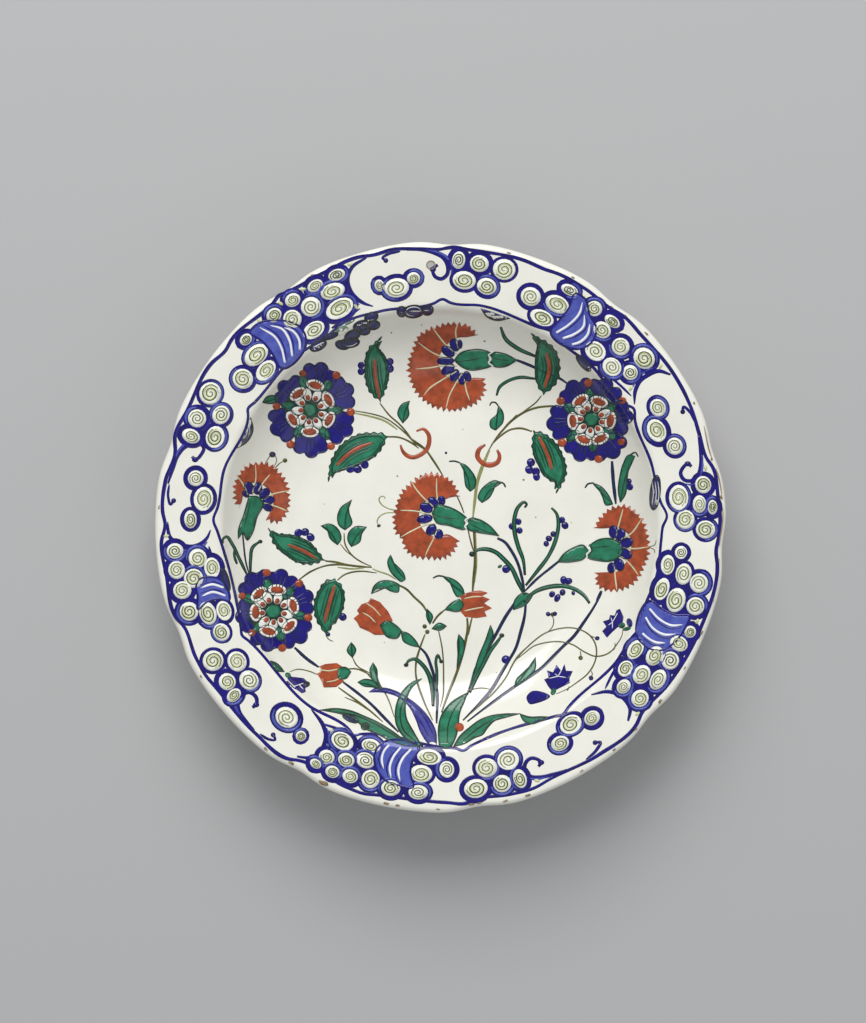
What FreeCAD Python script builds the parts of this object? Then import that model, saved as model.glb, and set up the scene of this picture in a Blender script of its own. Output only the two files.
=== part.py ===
"""Hand painted stonepaste dish with a bracketed rim, a deep well and a turned foot ring.

The dish lies on its foot with +Z up. Its origin is the middle of the foot's standing edge, and +Y
is the top of the painted picture, where the hanging hole is. All sizes are in millimetres.

The dish is built in the order in which the potter made it: the stonepaste body, the foot ring,
the white slip, the painter's raised red clay and the clear glaze that seals it all.
"""

import FreeCAD
import Part
import Sketcher

import math
import os

from FreeCAD import Placement, Rotation, Vector

doc = FreeCAD.newDocument("painted_dish")

# ---------------------------------------------------------------- driving dimensions

SIZES = {
    # overall
    "rim_radius": 150.0,
    "floor_height": 14.8,
    "floor_radius": 72.0,
    # cavetto, the steep wall between the floor and the rim
    "cavetto_radius": 47.7,
    "cavetto_slope": 64.0,
    "lip_radius": 6.3,
    # the flat rim, which rises a little towards its edge
    "rim_slope": 9.0,
    "rim_thickness": 4.4,
    "rim_rounding": 1.6,
    # the outside wall
    "outer_corner_radius": 9.0,
    "outer_curve_radius": 27.0,
    "base_height": 9.0,
    "base_radius": 88.0,
    # brackets cut in the rim
    "bracket_valley": 1.7,
    "bracket_tip": 1.1,
    "bracket_valley_angle": 4.0,
    # foot ring
    "foot_outer_radius": 86.5,
    "foot_inner_radius": 78.5,
    "foot_rounding": 1.2,
    "bare_edge": 1.8,
    # the hanging hole, drilled before glazing
    "hole_diameter": 3.8,
    "hole_distance": 137.9,
    "hole_angle": 92.1,
    # coats
    "slip_thickness": 0.3,
    "glaze_thickness": 0.4,
    "bole_thickness": 0.25,
    "rib_width": 1.9,
}

# Where the ten brackets meet, in degrees from +X. They were cut by eye, so they aren't even.
BRACKET_ANGLES = [14, 51, 88, 125, 162, 201, 239, 278, 317, 356]

sheet = doc.addObject("Spreadsheet::Sheet", "dims")
for row, (alias, value) in enumerate(SIZES.items(), start=1):
    sheet.set(f"A{row}", alias)
    sheet.set(f"B{row}", str(value))
    sheet.setAlias(f"B{row}", alias)
doc.recompute()


def size(alias):
    """The sheet's value of a driving dimension."""
    return float(sheet.get(alias))


# ---------------------------------------------------------------- sketch helpers


def origin_feature(body, role):
    """A body's own origin plane or axis, found by its role."""
    return next(f for f in body.Origin.OriginFeatures if f.Role == role)


def new_sketch(body, name, plane):
    """A sketch attached to one of the body's origin planes."""
    sketch = body.newObject("Sketcher::SketchObject", name)
    sketch.AttachmentSupport = (origin_feature(body, plane), [""])
    sketch.MapMode = "FlatFace"
    return sketch


def drive(sketch, index, expression):
    """Binds one constraint of a sketch to the sheet."""
    sketch.setExpression(f"Constraints[{index}]", expression)


def line(sketch, start, end):
    """Adds a line between two (x, y) points."""
    return sketch.addGeometry(Part.LineSegment(Vector(*start, 0), Vector(*end, 0)), False)


def arc(sketch, centre, radius, start, end):
    """Adds an anticlockwise arc; the angles are in degrees."""
    circle = Part.Circle(Vector(*centre, 0), Vector(0, 0, 1), radius)
    return sketch.addGeometry(Part.ArcOfCircle(circle, math.radians(start), math.radians(end)), False)


def set_size(sketch, kind, where, value, expression):
    """Adds a constraint with a size, and binds it to the sheet."""
    index = sketch.addConstraint(Sketcher.Constraint(kind, *where, value))
    drive(sketch, index, expression)


def revolved(body, sketch, name):
    """Turns a section about the dish's axis."""
    feature = body.newObject("PartDesign::Revolution", name)
    feature.Profile = sketch
    feature.ReferenceAxis = (sketch, ["V_Axis"])
    feature.Angle = 360.0
    sketch.Visibility = False
    return feature


START, END, CENTRE = 1, 2, 3
ORIGIN, ROOT_POINT = -1, 1


# ---------------------------------------------------------------- the dish's section


def rim_end(radius):
    """The blank runs this far past the rim before the brackets are cut."""
    return radius + 3.0


def blank_body(name, skin, skin_expression):
    """The dish as a solid of revolution whose surface lies skin outside the bare stonepaste.

    Each curve keeps its centre whatever the skin is, so the coats lie on each other exactly.
    """
    slope, rise = math.radians(size("cavetto_slope")), math.radians(size("rim_slope"))
    floor_z, floor_r = size("floor_height"), size("floor_radius")
    cavetto, lip = size("cavetto_radius") - skin, size("lip_radius") + skin
    wall_end = rim_end(size("rim_radius"))
    curve_centre = (floor_r, floor_z + size("cavetto_radius"))
    lip_centre = (
        curve_centre[0] + (cavetto + lip) * math.sin(slope),
        curve_centre[1] - (cavetto + lip) * math.cos(slope),
    )
    lip_top = (lip_centre[0] - lip * math.sin(rise), lip_centre[1] + lip * math.cos(rise))
    rim_top = (wall_end, lip_top[1] + (wall_end - lip_top[0]) * math.tan(rise))
    thick = (size("rim_thickness") + 2 * skin) / math.cos(rise)
    rim_low = (wall_end, rim_top[1] - thick)
    base_z, base_r = size("base_height"), size("base_radius")
    outer = size("outer_curve_radius") + skin
    outer_centre = (base_r, base_z + size("outer_curve_radius"))
    outer_end = (
        outer_centre[0] + outer * math.sin(slope),
        outer_centre[1] - outer * math.cos(slope),
    )
    # where the sloping outside wall would meet the rim's underside
    reach = (rim_low[1] - outer_end[1] - (rim_low[0] - outer_end[0]) * math.tan(rise)) / (
        math.tan(slope) - math.tan(rise)
    )
    corner = (outer_end[0] + reach, outer_end[1] + reach * math.tan(slope))
    corner_radius = size("outer_corner_radius") - skin
    trim = corner_radius * math.tan((slope - rise) / 2)
    wall_top = (corner[0] - trim * math.cos(slope), corner[1] - trim * math.sin(slope))
    rim_start = (corner[0] + trim * math.cos(rise), corner[1] + trim * math.sin(rise))
    corner_centre = (
        wall_top[0] + corner_radius * math.sin(slope),
        wall_top[1] - corner_radius * math.cos(slope),
    )
    steep, gentle = size("cavetto_slope"), size("rim_slope")

    body = doc.addObject("PartDesign::Body", name)
    sketch = new_sketch(body, name + "_section", "XZ_Plane")
    floor = line(sketch, (0, floor_z + skin), (floor_r, floor_z + skin))
    wall = arc(sketch, curve_centre, cavetto, -90, steep - 90)
    lip_arc = arc(sketch, lip_centre, lip, 90 + gentle, 90 + steep)
    rim = line(sketch, lip_top, rim_top)
    edge = line(sketch, rim_top, rim_low)
    under = line(sketch, rim_low, rim_start)
    inner_corner = arc(sketch, corner_centre, corner_radius, 90 + gentle, 90 + steep)
    outside = line(sketch, outer_end, wall_top)
    turn = arc(sketch, outer_centre, outer, -90, steep - 90)
    joins = [
        ("Tangent", floor, END, wall, START),
        ("Tangent", wall, END, lip_arc, END),
        ("Tangent", lip_arc, START, rim, START),
        ("Coincident", rim, END, edge, START),
        ("Coincident", edge, END, under, START),
        ("Tangent", under, END, inner_corner, START),
        ("Tangent", inner_corner, END, outside, END),
        ("Tangent", outside, START, turn, END),
    ]
    foot_r = size("foot_outer_radius")
    if skin:
        base = line(sketch, (base_r, base_z - skin), (foot_r, base_z - skin))
        step = line(sketch, (foot_r, base_z - skin), (foot_r, base_z))
        seat = line(sketch, (foot_r, base_z), (0, base_z))
        joins += [("Coincident", base, END, step, START), ("Coincident", step, END, seat, START)]
    else:
        base = seat = line(sketch, (base_r, base_z), (0, base_z))
    axis = line(sketch, (0, base_z), (0, floor_z + skin))
    joins += [
        ("Tangent", turn, START, base, START),
        ("Coincident", seat, END, axis, START),
        ("Coincident", axis, END, floor, START),
    ]
    for kind, *where in joins:
        sketch.addConstraint(Sketcher.Constraint(kind, *where))
    for flat in {floor, base, seat}:
        sketch.addConstraint(Sketcher.Constraint("Horizontal", flat))
    sketch.addConstraint(Sketcher.Constraint("Vertical", edge))
    spoke = sketch.addGeometry(
        Part.LineSegment(
            Vector(*curve_centre, 0),
            Vector(
                curve_centre[0] + cavetto * math.sin(slope),
                curve_centre[1] - cavetto * math.cos(slope),
                0,
            ),
        ),
        True,
    )
    sketch.addConstraint(Sketcher.Constraint("Coincident", spoke, START, wall, CENTRE))
    sketch.addConstraint(Sketcher.Constraint("Coincident", spoke, END, wall, END))
    sketch.addConstraint(Sketcher.Constraint("Perpendicular", spoke, outside))
    sketch.addConstraint(Sketcher.Constraint("PointOnObject", axis, START, -2))
    sketch.addConstraint(Sketcher.Constraint("PointOnObject", axis, END, -2))
    sketch.addConstraint(Sketcher.Constraint("Parallel", rim, under))
    plus, minus = f"+ ({skin_expression})", f"- ({skin_expression})"
    root = (ORIGIN, ROOT_POINT)
    set_size(sketch, "DistanceY", (*root, floor, END), floor_z + skin, f"dims.floor_height {plus}")
    set_size(sketch, "DistanceX", (*root, floor, END), floor_r, "dims.floor_radius")
    set_size(sketch, "Radius", (wall,), cavetto, f"dims.cavetto_radius {minus}")
    set_size(sketch, "Radius", (lip_arc,), lip, f"dims.lip_radius {plus}")
    set_size(sketch, "Angle", (rim,), rise, "dims.rim_slope * 1 deg")
    set_size(sketch, "Angle", (outside,), slope, "dims.cavetto_slope * 1 deg")
    set_size(sketch, "DistanceX", (*root, edge, START), wall_end, "dims.rim_radius + 3")
    set_size(
        sketch,
        "DistanceY",
        (edge, END, edge, START),
        thick,
        f"(dims.rim_thickness + 2 * ({skin_expression})) / cos(dims.rim_slope * 1 deg)",
    )
    set_size(sketch, "Radius", (inner_corner,), corner_radius, f"dims.outer_corner_radius {minus}")
    set_size(sketch, "Radius", (turn,), outer, f"dims.outer_curve_radius {plus}")
    set_size(sketch, "DistanceX", (*root, base, START), base_r, "dims.base_radius")
    set_size(sketch, "DistanceY", (*root, base, START), base_z - skin, f"dims.base_height {minus}")
    return body, sketch


def coats():
    """The thickness of slip and glaze over the bare stonepaste."""
    return size("slip_thickness") + size("glaze_thickness")


# ---------------------------------------------------------------- the bracketed rim


def polar(radius, angle):
    """The point at a distance and an angle in degrees from the axis."""
    turn = math.radians(angle)
    return Vector(radius * math.cos(turn), radius * math.sin(turn), 0)


def rim_surface(radius, skin):
    """The height of the rim's upper side at a radius, skin outside the bare stonepaste."""
    slope, rise = math.radians(size("cavetto_slope")), math.radians(size("rim_slope"))
    reach = size("cavetto_radius") + size("lip_radius")
    centre_r = size("floor_radius") + reach * math.sin(slope)
    centre_z = size("floor_height") + size("cavetto_radius") - reach * math.cos(slope)
    lip = size("lip_radius") + skin
    top_r, top_z = centre_r - lip * math.sin(rise), centre_z + lip * math.cos(rise)
    return top_z + (radius - top_r) * math.tan(rise)


def bracket_outline(radius, height):
    """The rim's outline at one height: long lobes that meet at small tips between two valleys."""
    valley, tip = size("bracket_valley"), size("bracket_tip")
    reach = size("bracket_valley_angle")
    points = []
    for index, angle in enumerate(BRACKET_ANGLES):
        following = BRACKET_ANGLES[(index + 1) % len(BRACKET_ANGLES)]
        span = (following - angle) % 360
        points.append(polar(radius - tip, angle))
        points.append(polar(radius - valley, angle + reach))
        points.append(polar(radius, angle + span / 2))
        points.append(polar(radius - valley, angle + span - reach))
    edge = Part.BSplineCurve()
    edge.interpolate(Points=points, PeriodicFlag=True)
    wire = Part.Wire(edge.toShape())
    wire.translate(Vector(0, 0, height))
    return wire


def bracket_form(name, skin):
    """The bracketed outline as a solid whose edges are eased where the rim's two sides meet it."""
    radius = size("rim_radius") - coats() + skin
    ease = size("rim_rounding") + skin / 2
    rise = math.radians(size("rim_slope"))
    top = rim_surface(radius - ease, skin)
    low = top - (size("rim_thickness") + 2 * skin) / math.cos(rise)
    base = size("base_height") - skin - ease
    inset = (radius - size("base_radius")) / 3
    levels = [
        (base, inset),
        (low - ease / 2, 1.5 * ease),
        (low + 0.3 * ease, 0.3 * ease),
        (low + ease, 0),
        (top - ease, 0),
        (top - 0.3 * ease, 0.3 * ease),
        (top + ease / 2, 1.5 * ease),
    ]
    wires = [bracket_outline(radius - inset, height) for height, inset in levels]
    form = doc.addObject("Part::Feature", name)
    form.Shape = Part.makeLoft(wires, True, True)
    return form


def pierced(body, name, skin_expression):
    """Drills the hanging hole straight through the rim; the coats line it."""
    sketch = new_sketch(body, name + "_hole", "XY_Plane")
    centre = polar(size("hole_distance"), size("hole_angle"))
    radius = size("hole_diameter") / 2
    circle = sketch.addGeometry(Part.Circle(centre, Vector(0, 0, 1), radius), False)
    root = (ORIGIN, ROOT_POINT)
    across = "dims.hole_distance * cos(dims.hole_angle * 1 deg)"
    along = "dims.hole_distance * sin(dims.hole_angle * 1 deg)"
    bore = f"dims.hole_diameter / 2 + dims.slip_thickness + dims.glaze_thickness - ({skin_expression})"
    set_size(sketch, "DistanceX", (circle, CENTRE, *root), -centre.x, f"-({across})")
    set_size(sketch, "DistanceY", (*root, circle, CENTRE), centre.y, along)
    set_size(sketch, "Radius", (circle,), radius, bore)
    doc.recompute()
    pocket = body.newObject("PartDesign::Pocket", name + "_bore")
    pocket.Profile = sketch
    pocket.Type = "ThroughAll"
    pocket.Reversed = True
    sketch.Visibility = False
    doc.recompute()
    return pocket


def dish_blank(name, skin, skin_expression):
    """One finished skin of the dish: turned, pierced and cut to brackets with eased edges."""
    body, sketch = blank_body(name + "_turned", skin, skin_expression)
    revolved(body, sketch, name + "_revolution")
    doc.recompute()
    whole = body.Shape.Volume
    pierced(body, name, skin_expression)
    if not body.Shape.Volume < whole:
        raise RuntimeError(name + ": the hanging hole cut nothing")
    cut = doc.addObject("Part::Common", name)
    cut.Base = body
    cut.Tool = bracket_form(name + "_brackets", skin)
    doc.recompute()
    return cut


# ---------------------------------------------------------------- body and coats


def difference(name, base, tool):
    """A coat: one skin of the dish less the skin under it."""
    cut = doc.addObject("Part::Cut", name)
    cut.Base = base
    cut.Tool = tool
    doc.recompute()
    return cut


def polygon_section(body, name, corners):
    """A closed section of straight lines; each corner is an (x, y) pair of sheet expressions."""
    sketch = new_sketch(body, name + "_section", "XZ_Plane")
    values = [tuple(value_of(part) for part in corner) for corner in corners]
    count = len(corners)
    sides = [line(sketch, values[i], values[(i + 1) % count]) for i in range(count)]
    for index, side in enumerate(sides):
        following = (index + 1) % count
        sketch.addConstraint(Sketcher.Constraint("Coincident", side, END, sides[following], START))
        level = values[index][1] == values[following][1]
        kind = "Horizontal" if level else "Vertical"
        sketch.addConstraint(Sketcher.Constraint(kind, side))
    seen_across, seen_up = {0.0}, set()
    for side, (across, up), corner in zip(sides, values, corners):
        root = (ORIGIN, ROOT_POINT)
        if across not in seen_across:
            seen_across.add(across)
            set_size(sketch, "DistanceX", (*root, side, START), across, corner[0])
        if up not in seen_up:
            seen_up.add(up)
            set_size(sketch, "DistanceY", (*root, side, START), up, corner[1])
    if any(across == 0.0 for across, _ in values):
        first = next(i for i, (across, _) in enumerate(values) if across == 0.0)
        sketch.addConstraint(Sketcher.Constraint("PointOnObject", sides[first], START, -2))
    return sketch


def value_of(expression):
    """Works out a sum of sheet values such as dims.a - dims.b."""
    total, sign = 0.0, 1
    for word in expression.split():
        if word in "+-":
            sign = 1 if word == "+" else -1
        else:
            total += sign * (size(word[5:]) if word.startswith("dims.") else float(word))
    return round(total, 6)


def foot_ring():
    """The turned ring that the dish stands on, left bare at its standing edge."""
    body = doc.addObject("PartDesign::Body", "foot_ring")
    inner, outer, top = "dims.foot_inner_radius", "dims.foot_outer_radius", "dims.base_height"
    corners = [(inner, "0"), (outer, "0"), (outer, top), (inner, top)]
    sketch = polygon_section(body, "foot_ring", corners)
    turned = revolved(body, sketch, "foot_ring_revolution")
    doc.recompute()
    edges = [
        f"Edge{index}"
        for index, edge in enumerate(turned.Shape.Edges, start=1)
        if abs(edge.BoundBox.ZMax) < 1e-6
    ]
    fillet = body.newObject("PartDesign::Fillet", "foot_ring_rounding")
    fillet.Base = (turned, edges)
    fillet.setExpression("Radius", "dims.foot_rounding")
    doc.recompute()
    return body


def base_glaze():
    """Glaze over the recess under the dish and down the inside of the foot ring."""
    body = doc.addObject("PartDesign::Body", "base_glaze")
    ring, ceiling = "dims.foot_inner_radius", "dims.base_height"
    face, under = ring + " - dims.glaze_thickness", ceiling + " - dims.glaze_thickness"
    corners = [
        ("0", under),
        (face, under),
        (face, "dims.bare_edge"),
        (ring, "dims.bare_edge"),
        (ring, ceiling),
        ("0", ceiling),
    ]
    revolved(body, polygon_section(body, "base_glaze", corners), "base_glaze_revolution")
    return body


def foot_glaze():
    """Glaze down the outside of the foot ring, wiped off its standing edge."""
    body = doc.addObject("PartDesign::Body", "foot_glaze")
    ring = "dims.foot_outer_radius"
    top = "dims.base_height - dims.slip_thickness - dims.glaze_thickness"
    face = ring + " + dims.glaze_thickness"
    corners = [(ring, "dims.bare_edge"), (face, "dims.bare_edge"), (face, top), (ring, top)]
    revolved(body, polygon_section(body, "foot_glaze", corners), "foot_glaze_revolution")
    return body


# ---------------------------------------------------------------- raised red clay
#
# The red is a thick clay, so it stands proud of the slip under the glaze. Each piece is the part
# of a thin sheet over the well that lies inside the piece's outline. Positions are X and Y on the
# dish, seen from above.


def clay_sheet():
    """A sheet of the red clay's thickness over the floor and wall of the well."""
    body = doc.addObject("PartDesign::Body", "clay_sheet")
    sketch = new_sketch(body, "clay_sheet_section", "XZ_Plane")
    low, high = size("slip_thickness"), size("slip_thickness") + size("bole_thickness")
    slope = math.radians(size("cavetto_slope"))
    floor_z, floor_r, cavetto = size("floor_height"), size("floor_radius"), size("cavetto_radius")
    centre = (floor_r, floor_z + cavetto)

    def wall_end(skin):
        reach = cavetto - skin
        return (centre[0] + reach * math.sin(slope), centre[1] - reach * math.cos(slope))

    steep = size("cavetto_slope")
    floor = line(sketch, (0, floor_z + low), (floor_r, floor_z + low))
    wall = arc(sketch, centre, cavetto - low, -90, steep - 90)
    end = line(sketch, wall_end(low), wall_end(high))
    face = arc(sketch, centre, cavetto - high, -90, steep - 90)
    top = line(sketch, (floor_r, floor_z + high), (0, floor_z + high))
    axis = line(sketch, (0, floor_z + high), (0, floor_z + low))
    joins = [
        ("Tangent", floor, END, wall, START),
        ("Coincident", wall, END, end, START),
        ("Coincident", end, END, face, END),
        ("Tangent", face, START, top, START),
        ("Coincident", top, END, axis, START),
        ("Coincident", axis, END, floor, START),
        ("Horizontal", floor),
        ("Horizontal", top),
        ("Coincident", wall, CENTRE, face, CENTRE),
        ("PointOnObject", axis, START, -2),
        ("PointOnObject", axis, END, -2),
    ]
    for kind, *where in joins:
        sketch.addConstraint(Sketcher.Constraint(kind, *where))
    root = (ORIGIN, ROOT_POINT)
    skin, both = "dims.slip_thickness", "dims.slip_thickness - dims.bole_thickness"
    set_size(sketch, "DistanceX", (*root, floor, END), floor_r, "dims.floor_radius")
    set_size(sketch, "DistanceY", (*root, floor, END), floor_z + low, f"dims.floor_height + {skin}")
    set_size(sketch, "Radius", (wall,), cavetto - low, f"dims.cavetto_radius - {skin}")
    set_size(sketch, "Radius", (face,), cavetto - high, f"dims.cavetto_radius - {both}")
    set_size(sketch, "Angle", (end,), math.pi / 2 + slope, "90 deg + dims.cavetto_slope * 1 deg")
    revolved(body, sketch, "clay_sheet_revolution")
    return body


def curve(points):
    """A smooth edge through points on the dish."""
    spline = Part.BSplineCurve()
    spline.interpolate([Vector(x, y, 0) for x, y in points])
    return spline.toShape()


def fan(outer, inner):
    """A petal fan between its outer edge and the edge next to the flower's heart."""
    return Part.Wire([curve(outer), curve(inner)])


def stroke(points, width):
    """A brush stroke that swells from a point to its full width and back to a point."""
    middle = [Vector(x, y, 0) for x, y in points]
    left, right = [middle[0]], [middle[0]]
    for before, here, after in zip(middle, middle[1:], middle[2:]):
        along = (after - before).normalize()
        aside = Vector(-along.y, along.x, 0) * (width / 2)
        left.append(here + aside)
        right.append(here - aside)
    left.append(middle[-1])
    right.append(middle[-1])
    edges = []
    for side in (left, right):
        edges.append(curve([(point.x, point.y) for point in side]))
    return Part.Wire(Part.sortEdges(edges)[0])


def dab(x, y, half_length, half_width, turn=0):
    """An oval touch of the brush; turn is in degrees."""
    long_way, short_way = max(half_length, half_width), min(half_length, half_width)
    turn = turn + (90 if half_width > half_length else 0)
    if long_way - short_way < 1e-6:
        return Part.Wire(Part.Circle(Vector(x, y, 0), Vector(0, 0, 1), long_way).toShape())
    oval = Part.Ellipse(Vector(0, 0, 0), long_way, short_way).toShape()
    oval.Placement = Placement(Vector(x, y, 0), Rotation(Vector(0, 0, 1), turn))
    return Part.Wire(oval)


def clay_piece(name, wires, sheet_of_clay):
    """Cuts one piece of raised clay out of the sheet."""
    bottom = size("floor_height")
    height = size("cavetto_radius")
    prism = doc.addObject("Part::Feature", name + "_outline")
    solids = []
    for wire in wires:
        face = Part.Face(wire)
        face.translate(Vector(0, 0, bottom))
        solids.append(face.extrude(Vector(0, 0, height)))
    prism.Shape = Part.makeCompound(solids)
    piece = doc.addObject("Part::Common", name)
    piece.Base = sheet_of_clay
    piece.Tool = prism
    doc.recompute()
    return piece


CARNATIONS = {
    "carnation_top": (
        [(20.4, 102), (14.2, 107), (3.6, 108.4), (-9, 104), (-15.4, 94), (-17.6, 86.7),
         (-15.4, 75.5), (-8.4, 66.2), (2.5, 62.6), (15.9, 63.7), (23, 70.5), (24.1, 79.1)],
        [(24.1, 79.1), (17.1, 79.2), (11.4, 75.8), (4.5, 78.5), (-0.5, 83), (-2, 88.5),
         (0.5, 94), (6.5, 99.3), (13, 100.5), (20.4, 102)],
    ),
    "carnation_left": (
        [(-107.5, 9.4), (-110, 16.6), (-109, 23.8), (-102.4, 33), (-94.8, 35), (-86.5, 30.6),
         (-81.5, 21.1), (-80, 12.5), (-82.7, 4.9), (-87.1, 1.5), (-93.2, 3.2)],
        [(-93.2, 3.2), (-90.5, 8.8), (-88.8, 14), (-91.5, 19.6), (-97, 23.6), (-102, 23.3),
         (-104.2, 18), (-105.5, 13.2), (-107.5, 9.4)],
    ),
    "carnation_centre": (
        [(10.7, 16.2), (8.7, 21.5), (0.6, 28.2), (-11.3, 27.4), (-20.8, 19.5), (-24.5, 7.7),
         (-23.9, -4.1), (-19.7, -11.7), (-10.4, -18.5), (2.5, -17.6), (10.4, -7.8)],
        [(10.4, -7.8), (3.1, -4.1), (-1.5, -6.5), (-8.3, -3.5), (-12.9, 4), (-10.8, 11),
         (-5, 15.8), (2.2, 15.6), (10.7, 16.2)],
    ),
    "carnation_right": (
        [(81.6, -0.7), (84.9, 5.2), (92.5, 11.1), (101.6, 10.8), (107.2, 4), (110.4, -5.2),
         (110.4, -16.5), (105.1, -27.4), (98.9, -33.9), (90.4, -35), (83.3, -31.6), (82.2, -24.6)],
        [(82.2, -24.6), (88.8, -24.9), (94, -24.5), (98.5, -20), (102, -13), (102, -6.5),
         (98, -1.5), (92.5, -0.2), (86.5, -1), (81.6, -0.7)],
    ),
}

TULIPS = {
    "tulip_lower_right": (
        [(10.5, -37.5), (18, -34.4), (25.3, -35.4), (26.4, -39.5), (27.3, -43.6), (24.8, -47.9),
         (19.4, -48.8), (13.2, -48.2), (10.6, -45.2)],
        [(10.6, -45.2), (12.6, -41.5), (10.5, -37.5)],
    ),
    "tulip_lower_left": (
        [(-52.6, -74.6), (-58, -73), (-64.5, -74.6), (-65.4, -78.5), (-62, -85.2),
         (-55.3, -85.3), (-51.6, -82.2)],
        [(-51.6, -82.2), (-54, -78.5), (-52.6, -74.6)],
    ),
    "tulip_middle_left": (
        [(-25.6, -50.6), (-27.9, -45.6), (-32.4, -40.5), (-37, -38.2), (-42.2, -41.5),
         (-46.2, -49.1), (-42.9, -53.8), (-36.5, -57.3), (-30.1, -57.7)],
        [(-30.1, -57.7), (-31.8, -53), (-29, -50.2), (-25.6, -50.6)],
    ),
}

CRESCENTS = {
    "crescent_left": (
        [(-12.6, 51.2), (-9.3, 52.2), (-6.5, 49.5), (-6, 45), (-7.2, 41.5), (-10.6, 38.4),
         (-15, 36.8), (-18.6, 38.5), (-20.5, 41), (-21.2, 43.4)],
        2.2,
    ),
    "crescent_right": (
        [(23.8, 43.8), (20.6, 41.4), (19.8, 37.5), (22.5, 34), (27, 32.9), (30.9, 34.8),
         (31.8, 38), (30.5, 41)],
        2.6,
    ),
}

LEAF_RIBS = [
    [(-35.3, 89), (-34.5, 79), (-32.7, 68.8)],
    [(-55.8, 32.6), (-50.2, 37.9), (-45, 41.5), (-35.6, 45)],
    [(56.3, 92.3), (58, 84.2), (55.4, 73.9)],
    [(52.5, 48.3), (56.8, 39.5), (59.7, 30.5)],
    [(-81.6, -9.7), (-73.8, -12.8), (-65.9, -17.3)],
    [(-56.4, -31.2), (-59.7, -42.2), (-62, -51.6)],
]

# Each dab is x, y, half length, half width and turn.
ROSETTES = {
    "rosette_upper_left": [
        (-73, 81.2, 1.9, 1.9, 0), (-55.5, 80.6, 2.3, 2.3, 0), (-87, 63.8, 1.7, 2.2, 0),
        (-47.9, 61.2, 2.6, 2, 0), (-79.9, 43.8, 2.3, 2.3, 0), (-58.5, 43, 2.2, 2.2, 0),
        (-66.6, 75.4, 2.9, 1.8, 10), (-59.7, 67.6, 3, 1.8, -40), (-59.3, 56.8, 3.2, 1.8, 50),
        (-69.7, 50.6, 3.8, 1.7, 0), (-79, 56.8, 3.2, 1.8, -65), (-76, 70.7, 3.1, 1.6, 60),
    ],
    "rosette_upper_right": [
        (64, 67.2, 2.3, 2.3, 0), (78, 76.5, 2, 2.8, 0), (93.8, 63.2, 1.6, 2.5, 0),
        (95.3, 43.8, 2, 2, 0), (63.8, 44.5, 2.4, 2.4, 0), (84.4, 35.6, 2, 2.6, 0),
        (74.2, 67.2, 3, 1.8, 30), (84.2, 66.6, 3, 1.8, -40), (90.6, 56.2, 1.8, 3.2, 0),
        (85.2, 46.2, 3, 1.8, 20), (76.3, 45.8, 3.2, 1.8, -35), (70.2, 56.3, 1.7, 3.6, 0),
    ],
    "rosette_lower_left": [
        (-70.5, -49.1, 2.4, 2.4, 0), (-84, -64.6, 2.2, 2.2, 0), (-99, -53.4, 1.7, 3.3, 0),
        (-94.4, -25, 2.3, 2.3, 0), (-105.1, -34.5, 1.4, 2.6, 0), (-76.9, -31.1, 2.2, 2.7, 0),
        (-96.9, -35.6, 2.6, 1.8, 45), (-87.7, -34.8, 3, 1.7, -10), (-79, -42.8, 1.7, 3.4, 0),
        (-98.4, -44.2, 1.6, 3.3, 0), (-91.4, -55.4, 3.4, 1.6, -40), (-80.3, -54.8, 3.4, 1.8, 15),
    ],
}


def raised_clay():
    """Every piece of raised red clay, by name."""
    sheet_of_clay = clay_sheet()
    doc.recompute()
    pieces = []
    for name, (outer, inner) in {**CARNATIONS, **TULIPS}.items():
        pieces.append(clay_piece(name, [fan(outer, inner)], sheet_of_clay))
    for name, (points, width) in CRESCENTS.items():
        pieces.append(clay_piece(name, [stroke(points, width)], sheet_of_clay))
    ribs = [stroke(points, size("rib_width")) for points in LEAF_RIBS]
    pieces.append(clay_piece("leaf_ribs", ribs, sheet_of_clay))
    for name, dabs in ROSETTES.items():
        pieces.append(clay_piece(name, [dab(*each) for each in dabs], sheet_of_clay))
    pieces.append(clay_piece("berry", [dab(10.1, -106.4, 2.4, 2.4)], sheet_of_clay))
    return pieces


# ---------------------------------------------------------------- assembly


def check_document():
    """Stops if any object of the document failed."""
    for item in doc.Objects:
        if any(word in ("Invalid", "Error") for word in item.State):
            raise RuntimeError(f"{item.Name} failed: {item.State}")


def export(nodes):
    """Writes each node to its own file, named by its label."""
    os.makedirs("parts", exist_ok=True)
    for node in nodes:
        shape = node.Shape
        if shape.isNull() or not shape.isValid() or not shape.Solids:
            raise RuntimeError(f"{node.Label} has no valid solid")
        box = shape.BoundBox
        print(
            f"{node.Label:22s} solids {len(shape.Solids):3d}  volume {shape.Volume:10.1f}"
            f"  z {box.ZMin:7.3f} to {box.ZMax:7.3f}"
        )
        shape.exportStep(f"parts/{node.Label}.step")


def main():
    """Builds the dish from the inside out and writes its nodes."""
    stonepaste = dish_blank("fritware_body", 0.0, "0")
    slipped = dish_blank("slipped", size("slip_thickness"), "dims.slip_thickness")
    glazed = dish_blank("glazed", coats(), "dims.slip_thickness + dims.glaze_thickness")
    slip = difference("slip_coat", slipped, stonepaste)
    red_clay = raised_clay()
    all_clay = doc.addObject("Part::Compound", "all_clay")
    all_clay.Links = red_clay
    doc.recompute()
    glaze = difference("glaze_coat", difference("glaze_shell", glazed, slipped), all_clay)
    nodes = [stonepaste, foot_ring(), slip, glaze, base_glaze(), foot_glaze(), *red_clay]
    doc.recompute()
    check_document()
    export(nodes)


main()
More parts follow.
